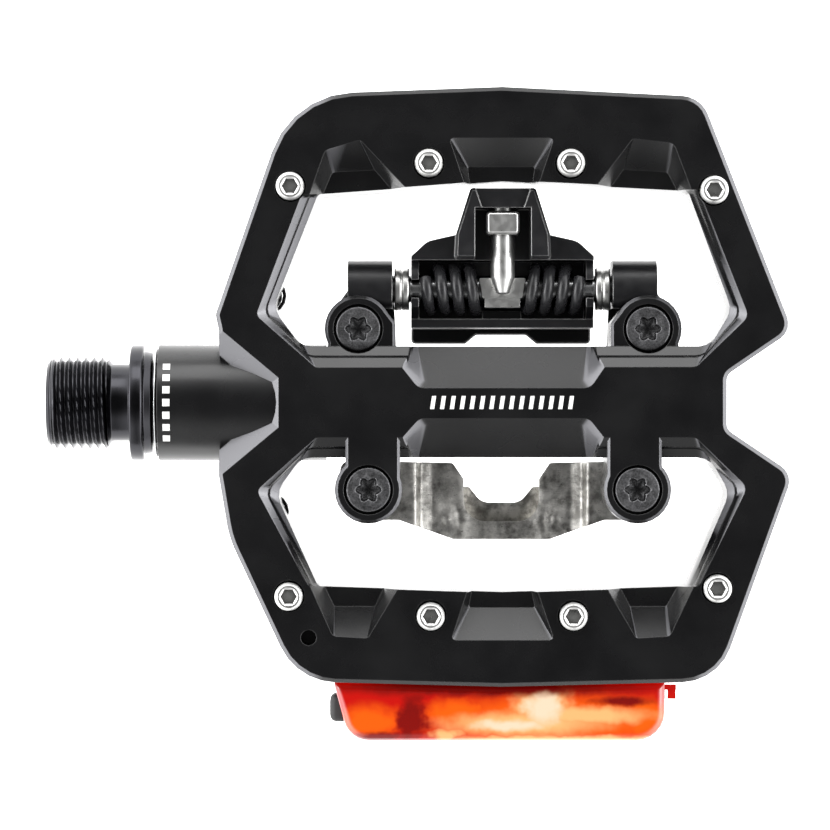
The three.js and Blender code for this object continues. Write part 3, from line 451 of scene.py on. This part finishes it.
def sweptPiece(name, path, section, material, body, replaced=(), **how):
    points = sweptPoints(path, section, **how)
    rows, columns = points.shape[:2]
    ends = np.array([path[0], path[-1]])
    allPoints = np.vstack([points.reshape(-1, 3), ends])
    faces = gridFaces(rows, columns)
    last = (rows - 1) * columns
    around = np.arange(columns)
    following = np.roll(around, -1)
    firstEnd, lastEnd = (np.full(columns, rows * columns + i) for i in (0, 1))
    faces += np.stack([firstEnd, following, around], 1).tolist()
    faces += np.stack([lastEnd, last + around, last + following], 1).tolist()
    piece = meshObject(name, allPoints, faces)
    return finishPiece(piece, material, body, replaced)


def refinedCopy(nodeName, pieceName, material, body, bevelMm=0.12, dissolveDegrees=1.0, sharpAngle=28):
    # the CAD solid with its loose triangles merged, its flats made whole and its edges rounded
    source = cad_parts[nodeName].data
    points = np.empty(len(source.vertices) * 3)
    source.vertices.foreach_get("co", points)
    faces = [list(p.vertices) for p in source.polygons]
    piece = meshObject(pieceName, points.reshape(-1, 3) / mm, faces)
    work = bmesh.new()
    work.from_mesh(piece.data)
    bmesh.ops.remove_doubles(work, verts=work.verts, dist=3e-6)
    bmesh.ops.dissolve_degenerate(work, edges=work.edges, dist=3e-6)
    bmesh.ops.dissolve_limit(work, angle_limit=math.radians(dissolveDegrees), verts=work.verts,
                             edges=work.edges)
    work.to_mesh(piece.data)
    work.free()
    if bevelMm:
        bevel = piece.modifiers.new("edges", "BEVEL")
        bevel.width = bevelMm * mm
        bevel.segments = 2
        bevel.limit_method = "ANGLE"
        bevel.angle_limit = math.radians(sharpAngle)
        bevel.use_clamp_overlap = True
        bevel.harden_normals = False
    return finishPiece(piece, material, body, (nodeName,), sharpAngle=sharpAngle)


def loopOutline(corners, steps=6):
    # a closed outline through rounded corners
    n = len(corners)
    path = []
    for i in range(n):
        three = rounded([corners[i - 1], corners[i], corners[(i + 1) % n]], steps)
        path.extend(three[1:-1])
    return np.array(path)


def prismTool(outline, low, high):
    # an upright prism over an outline
    count = len(outline)
    points = [(x, y, z) for z in (low, high) for x, y in outline]
    faces = [list(range(count))[::-1], list(range(count, 2 * count))]
    faces += [[i, (i + 1) % count, count + (i + 1) % count, count + i] for i in range(count)]
    return meshObject("tool", points, faces)


def boxTool(low, high):
    x, y, z = zip(low, high)
    points = [(x[i], y[j], z[k]) for i in (0, 1) for j in (0, 1) for k in (0, 1)]
    faces = [[0, 1, 3, 2], [4, 6, 7, 5], [0, 4, 5, 1], [2, 3, 7, 6], [0, 2, 6, 4], [1, 5, 7, 3]]
    return meshObject("tool", points, faces)


def turnedOut(piece):
    # faces all looking outwards, as the cutting needs
    work = bmesh.new()
    work.from_mesh(piece.data)
    bmesh.ops.recalc_face_normals(work, faces=work.faces)
    work.to_mesh(piece.data)
    work.free()
    return piece


def slab(name, low, high, counts, height, bottom):
    # a block whose top is a height over x and y, on a grid
    xs, ys = np.linspace(low[0], high[0], counts[0]), np.linspace(low[1], high[1], counts[1])
    gridX, gridY = np.meshgrid(xs, ys)
    top = height(gridX, gridY)
    under = bottom(top)
    points = np.concatenate([np.stack([gridX, gridY, z], -1).reshape(-1, 3) for z in (top, under)])
    columns, rows = counts
    faces = gridFaces(rows, columns, ringColumns=False)
    total = rows * columns
    faces += [[total + i for i in face[::-1]] for face in faces]
    index = np.arange(total).reshape(rows, columns)
    rim = np.concatenate([index[0, :], index[1:, -1], index[-1, -2::-1], index[-2:0:-1, 0]]).tolist()
    faces += [[a, total + a, total + b, b] for a, b in zip(rim, rim[1:] + rim[:1])]
    return meshObject(name, points, faces)


def carve(body, tool, operation="DIFFERENCE"):
    # the body less the tool, or with it, as plain mesh
    cutter = body.modifiers.new("cut", "BOOLEAN")
    cutter.operation = operation
    cutter.solver = "EXACT"
    cutter.object = tool
    result = bpy.data.meshes.new_from_object(body.evaluated_get(bpy.context.evaluated_depsgraph_get()))
    body.modifiers.clear()
    body.data = result
    bpy.data.objects.remove(tool)


spindle = {"threadStart": -12.8, "threadEnd": -3.6, "radius": 7.14, "pitch": 1.27, "depth": 0.74,
           "flange": 8.9, "key": 8.0, "keyDepth": 7.5, "leadIn": 0.45, "fadeOver": 0.8, "threadRows": 176,
           "shaft": [(2.15, 7.95, 0.25), (3.3, 7.75, 0.2), (3.4, 6.2, 0.1), (11.9, 6.2, 0.1), (12.1, 5),
                     (25.5, 5), (30, 4.6), (66, 4.1), (69, 4.1), (69.1, 3.5), (80.4, 3.5), (80.6, 3),
                     (84.7, 3), (85.1, 2.6), (85.1, 0)]}


def spindleRadius(along, radius, v):
    # on the threaded length the radius dips in a rounded V that advances one pitch a turn
    s = spindle
    begin = s["threadStart"] + s["leadIn"]
    inside = (along > begin) & (along < s["threadEnd"] + 0.2) & (radius > 6.9)
    phase = np.mod(along / s["pitch"] - v / (2 * math.pi), 1)
    ridge = np.clip(1.25 * np.abs(2 * phase - 1) - 0.1, 0, 1)
    fade = np.clip((along - begin) / s["fadeOver"], 0, 1)
    return np.where(inside, radius - s["depth"] * ridge * fade - (1 - fade) * 0.55, radius)


def makeSpindle():
    # one turned profile: hexagon socket, end face, thread, flange, neck and the hidden shaft
    s = spindle
    keyCorner = s["key"] / math.sqrt(3)
    floor = s["threadStart"] + s["keyDepth"]
    socket = [(floor, 0), (floor, keyCorner), (s["threadStart"] + 0.4, keyCorner),
              (s["threadStart"], keyCorner + 0.35)]
    along = np.linspace(s["threadStart"] + 0.5, s["threadEnd"] + 0.15, s["threadRows"])
    thread = np.stack([along, np.full(len(along), s["radius"])], 1)
    front = rounded([(s["threadStart"], keyCorner + 0.36), (s["threadStart"], s["radius"] - 0.9, 0.15),
                     (s["threadStart"] + 0.48, s["radius"] - 0.45)])
    rear = rounded([(s["threadEnd"] + 0.16, s["radius"] - 0.3), (s["threadEnd"] + 0.7, 5.95, 0.3),
                    (-0.05, 5.95, 0.25), (0, s["flange"], 0.35), (2.1, s["flange"], 0.45)] + s["shaft"], 3)
    profile = np.vstack([socket, front, thread, rear])
    shaped = np.zeros(len(profile))
    shaped[:3] = 1
    turnedPiece("spindleShaft", profile, glossBlack, "spindle", ("spindle",), columns=144,
                shape=hexagon, shaped=shaped, radial=spindleRadius, sharpAngle=40)


dustShield = {"span": (3.8, 4.05), "inner": 6.6, "outer": 8.34}


def makeDustRing():
    r = dustShield
    near, far = r["span"]
    profile = rounded([(near, 7), (near, r["inner"], 0.05), (far, r["inner"], 0.05), (far, r["outer"], 0.1),
                       (near, r["outer"], 0.1), (near, 7)])
    turnedPiece("dustShield", profile[:-1], axleSteel, "platform", ("dust_ring",), ring=True, columns=128)


makeSpindle()
makeDustRing()
print("spindle made")


refinedCopy("platform", "platformCasting", casting, "platform", bevelMm=0)
refinedCopy("claw_bracket", "clawBracket", blackSteel, "platform", bevelMm=0.2)
refinedCopy("claw", "clawCasting", blackSteel, "claw", bevelMm=0.2)
refinedCopy("spring_bridge", "springBridge", zinc, "claw", bevelMm=0.1)
refinedCopy("tension_nut", "tensionNut", zinc, "claw", bevelMm=0.15)


# valley, rise and dimples: height, distance from the middle, width
# outlines list (x, y, corner radius): the left half of the blank, the lip and the wall, and the whole notch
plate = {"top": -8.9, "thick": 2.3, "middle": 57.2, "bendAt": 13.0, "bendWidth": 0.9, "drop": 1.0,
         "lipTop": -14.3, "lipBottom": -16.4, "screwHole": 2.7, "play": 0.05,
         "valley": (-0.45, 10.6, 1.3), "rise": (0.35, 6.8, 1.6), "dimples": (-0.7, 8.2, 1.3),
         "dimplesY": (-18.4, 1.6),
         "blank": [(49.6, -9.4, 0.6), (32.2, -9, 1.5), (31.6, -14, 2), (33.4, -18.3, 3),
                   (41.2, -18.3, 1), (49.6, -21.3, 1.5)],
         "notch": [(63.1, -11.9, 0.3), (63.1, -18.6, 3.4), (51.3, -18.6, 3.4), (51.3, -11.9, 0.3)],
         "lip": [(54.2, -15.7, 2.5), (52.2, -13.2, 0.6), (50.4, -13.2, 0.6), (49.6, -21.3, 1.2)],
         "wall": [(51.3, -18.9, 0.8), (49.6, -21.25, 1.2)]}


def mirroredOutline(corners):
    # the corners listed for the left half, then their mirror images about the clamp's middle
    return corners + [(2 * plate["middle"] - x, y, r) for x, y, r in corners[::-1]]


def plateHeight(x, y):
    # flat wings, a bend down, a shallow valley that rises again towards the notch, and two pressed dimples
    u = np.abs(x - plate["middle"])
    bend = 1 / (1 + np.exp((u - plate["bendAt"]) / plate["bendWidth"] * 5))
    valley, rise, dimples = (height * np.exp(-((u - at) / width) ** 2)
                             for height, at, width in (plate["valley"], plate["rise"], plate["dimples"]))
    dimplesY, reach = plate["dimplesY"]
    dimples = dimples * np.exp(-((y - dimplesY) / reach) ** 2)
    wingTwist = 0.05 * (y + 14) * np.clip(u - 13.5, 0, 3) / 3
    return plate["top"] - plate["drop"] * bend + valley + rise + dimples + wingTwist - plate["play"]


def lipHeight(x, y):
    # the hook's lip: a shallow bowl around the notch
    far = np.hypot((x - plate["middle"]) / 1.1, y + 11.5)
    return plate["lipTop"] - plate["play"] - 0.5 * np.clip((far - 3.5) / 3.5, 0, 1.3) ** 2


def makeCleatPlate():
    p = plate
    body = turnedOut(slab("cleatPlate", (30.5, -22.5), (83.9, -8), (230, 66), plateHeight,
                          lambda top: top - p["thick"]))
    outline = loopOutline(mirroredOutline(p["blank"]) + p["notch"], 5)
    carve(body, turnedOut(prismTool(outline, -13.5, -7)), "INTERSECT")
    lip = turnedOut(slab("lip", (48, -22.5), (66.4, -12), (90, 56), lipHeight,
                         lambda top: 0 * top + p["lipBottom"]))
    outline = loopOutline(mirroredOutline(p["lip"]), 5)
    carve(lip, turnedOut(prismTool(outline, -17.5, -13)), "INTERSECT")
    outline = loopOutline(mirroredOutline(p["wall"]), 4)
    carve(lip, turnedOut(prismTool(outline, -16.2, -10.6)), "UNION")
    carve(body, lip, "UNION")
    angles = np.linspace(0, 2 * math.pi, 32, endpoint=False)
    for nodeName in ("cleat_plate_screw_1", "cleat_plate_screw_2"):
        low, high = (np.array(b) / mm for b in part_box(nodeName))
        x, y = (low[:2] + high[:2]) / 2
        circle = np.stack([x + p["screwHole"] * np.cos(angles), y + p["screwHole"] * np.sin(angles)], 1)
        carve(body, turnedOut(prismTool(circle, -13, -7)))
    finishPiece(body, steelPlate, "platform", ("cleat_plate",), sharpAngle=30)


makeCleatPlate()
print("castings and plates made")


pin = {"radius": 2.15, "keyCorner": 1.25, "keyDepth": 1.7, "pitch": 0.7, "crest": 0.22}


def pinRadius(along, radius, v):
    # the pin's thread: a V that advances one pitch a turn, below the chamfered tip
    deep = (along < along.max() - 1.0) & (along > along.min() + 0.5) & (radius > pin["radius"] - 0.01)
    phase = np.mod(along / pin["pitch"] - v / (2 * math.pi), 1)
    return np.where(deep, radius - pin["crest"] * np.abs(2 * phase - 1), radius)


def makePin(nodeName, pieceName, material, tipUp):
    low, high = (np.array(c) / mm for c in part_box(nodeName))
    x, y = (low[0] + high[0]) / 2, (low[1] + high[1]) / 2
    key, r, tip = pin["keyCorner"], pin["radius"], high[2] - low[2]
    head = [(tip - pin["keyDepth"], 0), (tip - pin["keyDepth"], key), (tip - 0.22, key), (tip, key + 0.18)]
    rim = rounded([(tip, key + 0.19), (tip, r - 0.42, 0.12), (tip - 0.5, r, 0.2), (tip - 1.0, r)], 3)
    side = [(a, r) for a in np.linspace(tip - 1.05, 0.5, int((tip - 1.5) / pin["pitch"] * 7))]
    profile = np.vstack([head, rim, side, [(0.4, r), (0, r - 0.4), (0, 0)]])
    shaped = np.zeros(len(profile))
    shaped[:3] = 1
    points = turnedPoints(profile, columns=48, axis="z", shape=hexagon, shaped=shaped, radial=pinRadius)
    if not tipUp:
        points = points * np.array([1, -1, -1])
    points = points + np.array([x, y, low[2] if tipUp else high[2]])
    piece = meshObject(pieceName, points.reshape(-1, 3), gridFaces(*points.shape[:2]))
    finishPiece(piece, material, "platform", (nodeName,))


for number in range(1, 9):
    makePin(f"grip_pin_{number}", f"gripPin{number}", zinc, True)
for number in range(1, 5):
    makePin(f"underside_pin_{number}", f"undersidePin{number}", blackSteel, False)

screw = {"head": 3.5, "headHeight": 2.4, "lobe": 1.92, "lobeDepth": 1.9, "shank": 2.4, "rings": 9,
         "ringDepth": 0.014}


def makeClampScrew(nodeName, pieceName):
    low, high = (np.array(c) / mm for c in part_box(nodeName))
    x, y, top = (low[0] + high[0]) / 2, (low[1] + high[1]) / 2, high[2]
    s = screw
    recess = [(top - s["lobeDepth"] - 0.5, 0), (top - s["lobeDepth"], s["lobe"] - 0.15),
              (top - 0.25, s["lobe"]), (top - 0.05, s["lobe"] + 0.12)]
    # fine turned rings across the head's face
    radii = np.linspace(s["lobe"] + 0.36, s["head"] - 0.45, s["rings"])
    rings = [(top - s["ringDepth"] * (k % 2), r) for k, r in enumerate(radii)]
    under = top - s["headHeight"]
    rim = rounded([(top - 0.01, s["head"] - 0.4), (top, s["head"], 0.35), (under, s["head"], 0.2),
                   (under, s["shank"], 0.2), (low[2], s["shank"], 0.3), (low[2], 0)], 4)
    profile = np.vstack([recess, rings, rim])
    shaped = np.zeros(len(profile))
    shaped[:4] = (1, 1, 1, 0.8)
    turnedPiece(pieceName, profile, screwSteel, "platform", (nodeName,), columns=96, axis="z",
                centre=(x, y, 0), shape=sixLobes, shaped=shaped)


for number in (1, 2):
    makeClampScrew(f"bracket_screw_{number}", f"bracketScrew{number}")
    makeClampScrew(f"cleat_plate_screw_{number}", f"cleatPlateScrew{number}")
print("pins and screws made")


clamp = {"middle": 57.2, "axisY": 17.6, "axisZ": -4.0, "axle": 2.1, "washer": 3.35}
spring = {"wire": 1.8, "radius": 3.2, "pitch": 2.35, "turns": 3.55, "start": 45.3, "sides": 16, "steps": 180}
tensionScrew = {"key": 1.55, "keyDepth": 1.1, "head": 2.5, "headFrom": 31.3, "shank": 1.85, "tip": 1.0}


def makeAxle():
    c = clamp
    left, right = [low / mm for low in (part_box("claw_axle")[0][0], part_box("claw_axle")[1][0])]
    profile = rounded([(left, 0), (left, c["axle"], 0.3), (right, c["axle"], 0.3), (right, 0)])
    turnedPiece("clawAxle", profile, axleSteel, "platform", ("claw_axle",), columns=64,
                centre=(0, c["axisY"], c["axisZ"]))
    for side in ("inboard", "outboard"):
        low, high = (np.array(b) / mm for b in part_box(f"claw_washer_{side}"))
        inner, outer = c["axle"] + 0.2, c["washer"]
        mid = (low[0] + high[0]) / 2
        profile = rounded([(mid, inner), (low[0], inner, 0.1), (low[0], outer, 0.3), (mid - 0.25, outer, 0.15),
                           (mid, outer - 0.22, 0.1), (mid + 0.25, outer, 0.15), (high[0], outer, 0.3),
                           (high[0], inner, 0.1), (mid, inner)])
        turnedPiece(f"clawWasher_{side}", profile[:-1], zinc, "platform", (f"claw_washer_{side}",), ring=True,
                    columns=72, centre=(0, c["axisY"], c["axisZ"]))


def makeSprings():
    s, c = spring, clamp
    around = np.linspace(0, 2 * math.pi, s["sides"], endpoint=False)
    section = np.stack([np.cos(around), np.sin(around)], 1) * s["wire"] / 2
    # the wire's middle: angle grows evenly along the helix, and x by one pitch a turn
    t = np.linspace(0, 1, s["steps"])
    angle = t * s["turns"] * 2 * math.pi + math.pi / 3
    for side, sign in (("inboard", 1), ("outboard", -1)):
        start = s["start"] if sign > 0 else 2 * c["middle"] - s["start"]
        path = np.stack([start + sign * t * s["turns"] * s["pitch"],
                         c["axisY"] + s["radius"] * np.cos(angle),
                         c["axisZ"] + s["radius"] * np.sin(angle)], 1)
        sweptPiece(f"clawSpring_{side}", path, section, springSteel, "platform", (f"claw_spring_{side}",))


def makeTensionScrew():
    low, high = (np.array(b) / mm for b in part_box("tension_screw"))
    x, z = (low[0] + high[0]) / 2, (low[2] + high[2]) / 2
    s, end = tensionScrew, high[1]
    key, floor = s["key"], end - s["keyDepth"]
    profile = rounded([(floor, 0), (floor, key), (end - 0.2, key), (end, key + 0.15), (end, s["head"], 0.3),
                       (s["headFrom"], s["head"], 0.15), (s["headFrom"], s["shank"], 0.1),
                       (26, s["shank"]), (19.2, s["shank"], 1.6), (low[1], s["tip"], 0.4), (low[1], 0)], 5)
    shaped = np.zeros(len(profile))
    shaped[1:3] = 1
    turnedPiece("tensionScrew", profile, zinc, "tension_screw", ("tension_screw",), columns=72, axis="y",
                centre=(x, 0, z), shape=hexagon, shaped=shaped)


makeAxle()
makeSprings()
makeTensionScrew()
print("clamp made")


lens = {"left": 31.2, "leftOuter": 33.6, "right": 82.0, "inner": -43.5, "rise": 0.7, "outer": -51.8,
        "halfHeight": 5.6, "edge": 1.4, "wall": 1.3,
        "buttonHole": ((29, -49.4, -2.9), (35.4, -44.4, 2.9)),
        "tab": ((81.4, -44.1, -2.6), (83.8, -43.3, 2.6)),
        "tabHook": ((82.5, -45.5, -2.55), (83.75, -43.6, 2.55))}
button = {"stem": 33.2, "power": 0.35,
          "dome": [(0, 0), (0, 0.45), (0.1, 0.72), (0.4, 0.9), (0.9, 0.98)]}


def lensSolid(name, inset, height, edge):
    # layers of one outline, each moved in along a quarter circle near the top and bottom faces
    n = lens

    def outline(more):
        m = inset + more
        inner = n["inner"] + (1.2 if inset else -more)
        return loopOutline([(n["left"] + m, inner + n["rise"], 0.3),
                            (n["leftOuter"] + 0.8 * m, n["outer"] + m, max(0.6, 4 - m)),
                            (n["right"] - m, n["outer"] + m, max(0.8, 4.4 - m)),
                            (n["right"] - m, inner + n["rise"], 0.3),
                            (57, inner, 2)])
    quarter = [(edge * (1 - math.cos(a)), height - edge * (1 - math.sin(a)))
               for a in np.linspace(0, math.pi / 2, 6)]
    levels = [(more, -z) for more, z in quarter[::-1]] + quarter
    outlines = [(outline(more), z) for more, z in levels]
    rows = np.array([np.column_stack([path, np.full(len(path), z)]) for path, z in outlines])
    count = rows.shape[1]
    faces = gridFaces(len(levels), count)
    faces.append(list(range(count))[::-1])
    faces.append(list(range((len(levels) - 1) * count, len(levels) * count)))
    return meshObject(name, rows.reshape(-1, 3), faces)


def makeLens():
    n = lens
    shell = turnedOut(lensSolid("lightLens", 0, n["halfHeight"], n["edge"]))
    carve(shell, turnedOut(lensSolid("hollow", n["wall"], n["halfHeight"] - n["wall"], 0.6)))
    carve(shell, turnedOut(boxTool(*n["buttonHole"])))
    carve(shell, turnedOut(boxTool(*n["tab"])), "UNION")
    carve(shell, turnedOut(boxTool(*n["tabHook"])), "UNION")
    finishPiece(shell, litLens, "rear_light", ("light_lens",), sharpAngle=30)


def makeButton():
    # a soft domed key: each row is a rounded rectangle, cos and sin of the turn raised to a power under 1
    low, high = (np.array(b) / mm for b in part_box("light_button"))
    halfY, halfZ = (high[1] - low[1]) / 2, (high[2] - low[2]) / 2
    midY, midZ = (high[1] + low[1]) / 2, (high[2] + low[2]) / 2
    v = np.linspace(0, 2 * math.pi, 48, endpoint=False)
    shapeY = np.sign(np.cos(v)) * np.abs(np.cos(v)) ** button["power"]
    shapeZ = np.sign(np.sin(v)) * np.abs(np.sin(v)) ** button["power"]
    steps = [(low[0] + depth, share) for depth, share in button["dome"]]
    steps += [(button["stem"], 1.0), (button["stem"], 0.6), (high[0], 0.58), (high[0], 0)]
    rows = np.array([np.column_stack([np.full(len(v), x), midY + halfY * share * shapeY,
                                      midZ + halfZ * share * shapeZ]) for x, share in steps])
    piece = meshObject("lightButton", rows.reshape(-1, 3), gridFaces(len(steps), len(v)))
    finishPiece(piece, rubber, "light_button", ("light_button",), sharpAngle=50)


marks = {"barCount": 15, "barFrom": 46.0, "barStep": 1.5, "barWidth": 0.62, "barHalf": 1, "barLean": 0.3,
         "faceZ": 9.2, "thick": 0.03, "barrel": 8.92, "dashCount": 7, "dashTurn": 12.6, "dashHalf": 3.6,
         "dashSpan": (5.2, 6.3), "dashSteps": 7, "barSunk": 0.02, "dashSunk": 0.03}


def makeMarks():
    # plain printed bars: a slanted row on the bar and a column of dashes round the barrel
    m = marks
    lean, half, width = m["barLean"], m["barHalf"], m["barWidth"]
    outline = [(0, -half), (width, -half), (width + lean, half), (lean, half)]
    levels = (m["faceZ"] - m["barSunk"], m["faceZ"] + m["thick"])
    corners = np.array([(x, y, z) for z in levels for x, y in outline])
    starts = m["barFrom"] + m["barStep"] * np.arange(m["barCount"])
    points = corners + starts[:, None, None] * np.array([1, 0, 0])
    sides = np.array([[3, 2, 1, 0], [4, 5, 6, 7], [0, 1, 5, 4], [1, 2, 6, 5], [2, 3, 7, 6], [3, 0, 4, 7]])
    faces = sides + 8 * np.arange(m["barCount"])[:, None, None]
    finishPiece(meshObject("barMarks", points.reshape(-1, 3), faces.reshape(-1, 4).tolist()), whiteInk,
                "platform")

    # each dash is a four-cornered section (inner and outer radius, both ends in x) carried round an arc
    count, steps = m["dashCount"], m["dashSteps"]
    centres = (np.arange(count) - (count - 1) / 2) * m["dashTurn"]
    turn = np.radians(centres[:, None] + np.linspace(-m["dashHalf"], m["dashHalf"], steps))[..., None]
    radius = m["barrel"] + np.array([-m["dashSunk"], -m["dashSunk"], m["thick"], m["thick"]])
    along = np.tile(m["dashSpan"], 2) + 0 * turn
    points = np.stack([along, radius * np.sin(turn), radius * np.cos(turn)], -1)
    skin = np.array([[0, 1, 5, 4], [2, 6, 7, 3], [0, 4, 6, 2], [1, 3, 7, 5]])
    skin = (skin + 4 * np.arange(steps - 1)[:, None, None]).reshape(-1, 4)
    ends = np.array([[0, 2, 3, 1], [4 * steps - 4, 4 * steps - 3, 4 * steps - 1, 4 * steps - 2]])
    faces = np.concatenate([skin, ends]) + 4 * steps * np.arange(count)[:, None, None]
    finishPiece(meshObject("barrelMarks", points.reshape(-1, 3), faces.reshape(-1, 4).tolist()), whiteInk,
                "platform")


makeLens()
makeButton()
makeMarks()
refinedCopy("light_carrier", "lightCarrier", nylon, "rear_light", bevelMm=0.15)
print("light made")


# the hidden inner pieces keep their CAD shape and get a finish
keptFinishes = {"spindle_nut": bearingSteel, "spindle_seal": rubber, "retaining_collar": nylon,
                "spindle_bush": bronze, "light_cell": cellSleeve, "charging_socket": zinc,
                "light_board": board}
for letter in "ab":
    for part in ("inner_ring", "outer_ring", "balls"):
        keptFinishes[f"outer_bearing_{letter}_{part}"] = bearingSteel
for number in (1, 2, 3):
    keptFinishes[f"light_diode_{number}"] = diode
for nodeName, finish in keptFinishes.items():
    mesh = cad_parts[nodeName].data
    mesh.materials.clear()
    mesh.materials.append(finish)


stage = {"floor": -64.0, "floorSize": 3.0, "glow": 0.9, "aim": (0.0437, 0, 0)}
# the room's brightness: overhead, at the horizon towards +Y and -Y, and towards both X sides
room = {"overhead": 0.09, "horizon": 0.9, "towardsY": 0.55, "sides": 4.0, "darkAbove": 0.98,
        "brightBelow": 0.55}
# each softbox: place in metres, width in metres, power in watts, height as a share of the width
studio = {"key": ((0.05, 0.80, 0.42), 0.5, 2.2, 0.9), "left": ((-0.85, 0.1, 0.55), 0.5, 2.5, 0.9),
          "right": ((0.95, 0.1, 0.5), 0.5, 2.0, 0.9)}
camera = {"centre": (43.7, -1.9), "width": 128.0, "lens": 200.0, "sensor": 36.0}


def makeStage():
    half = stage["floorSize"] / 2 / mm
    z = stage["floor"]
    floor = meshObject("paleFloor", [(-half, -half, z), (half, -half, z), (half, half, z), (-half, half, z)],
                       [[0, 1, 2, 3]])
    made, tree, _ = startMaterial("paleFloor")
    endMaterial(tree, {"Base Color": linear("#e6e6e6"), "Roughness": 0.9,
                       "Emission Color": linear("#ffffff"), "Emission Strength": stage["glow"]})
    floor.data.materials.append(made)


def makeWorld():
    # a soft room: overhead + share(z) * (horizon + towardsY * y + sides * |x|), for a view towards (x, y, z)
    # it is dark straight above the object, bright low down, most of all on its X sides
    world = bpy.data.worlds.new("softRoom")
    scene.world = world
    world.use_nodes = True
    tree = world.node_tree
    tree.nodes.clear()
    r = room
    toward = addNode(tree, "SeparateXYZ", {"Vector": addNode(tree, "TexCoord", out="Generated")})
    x, y, z = (toward.outputs[name] for name in "XYZ")
    aside = addNode(tree, "Math", {0: x}, "Value", operation="ABSOLUTE")
    sides = addNode(tree, "Math", {0: aside, 1: r["sides"]}, "Value", operation="MULTIPLY")
    ahead = addNode(tree, "Math", {0: y, 1: r["towardsY"]}, "Value", operation="MULTIPLY")
    level = addNode(tree, "Math", {0: ahead, 1: r["horizon"]}, "Value", operation="ADD")
    around = addNode(tree, "Math", {0: level, 1: sides}, "Value", operation="ADD")
    low = addNode(tree, "MapRange", {"Value": z, **spread(0, 1, r["darkAbove"], r["brightBelow"])}, "Result",
                  interpolation_type="SMOOTHSTEP")
    lit = addNode(tree, "Math", {0: low, 1: around}, "Value", operation="MULTIPLY")
    light = addNode(tree, "Math", {0: lit, 1: r["overhead"]}, "Value", operation="ADD")
    sky = addNode(tree, "Background", {"Color": (1, 1, 1, 1), "Strength": light}, "Background")
    addNode(tree, "OutputWorld", {"Surface": sky})


def makeLights():
    aim = Vector(stage["aim"])
    for name, (place, size, power, height) in studio.items():
        data = bpy.data.lights.new(name + "Softbox", "AREA")
        data.shape = "RECTANGLE"
        data.size = size
        data.size_y = size * height
        data.energy = power
        light = bpy.data.objects.new(name + "Softbox", data)
        light.location = Vector(place)
        light.rotation_euler = (aim - Vector(place)).to_track_quat("-Z", "Y").to_euler()
        scene.collection.objects.link(light)


def makeCamera():
    data = bpy.data.cameras.new("camera")
    data.lens = camera["lens"]
    data.sensor_width = camera["sensor"]
    distance = camera["width"] * camera["lens"] / camera["sensor"]
    viewer = bpy.data.objects.new("camera", data)
    viewer.location = (camera["centre"][0] * mm, camera["centre"][1] * mm, distance * mm)
    data.clip_start = 0.01
    data.clip_end = 20
    scene.collection.objects.link(viewer)
    scene.camera = viewer


makeStage()
makeWorld()
makeLights()
makeCamera()
scene.view_settings.view_transform = "Standard"
print("stage made")

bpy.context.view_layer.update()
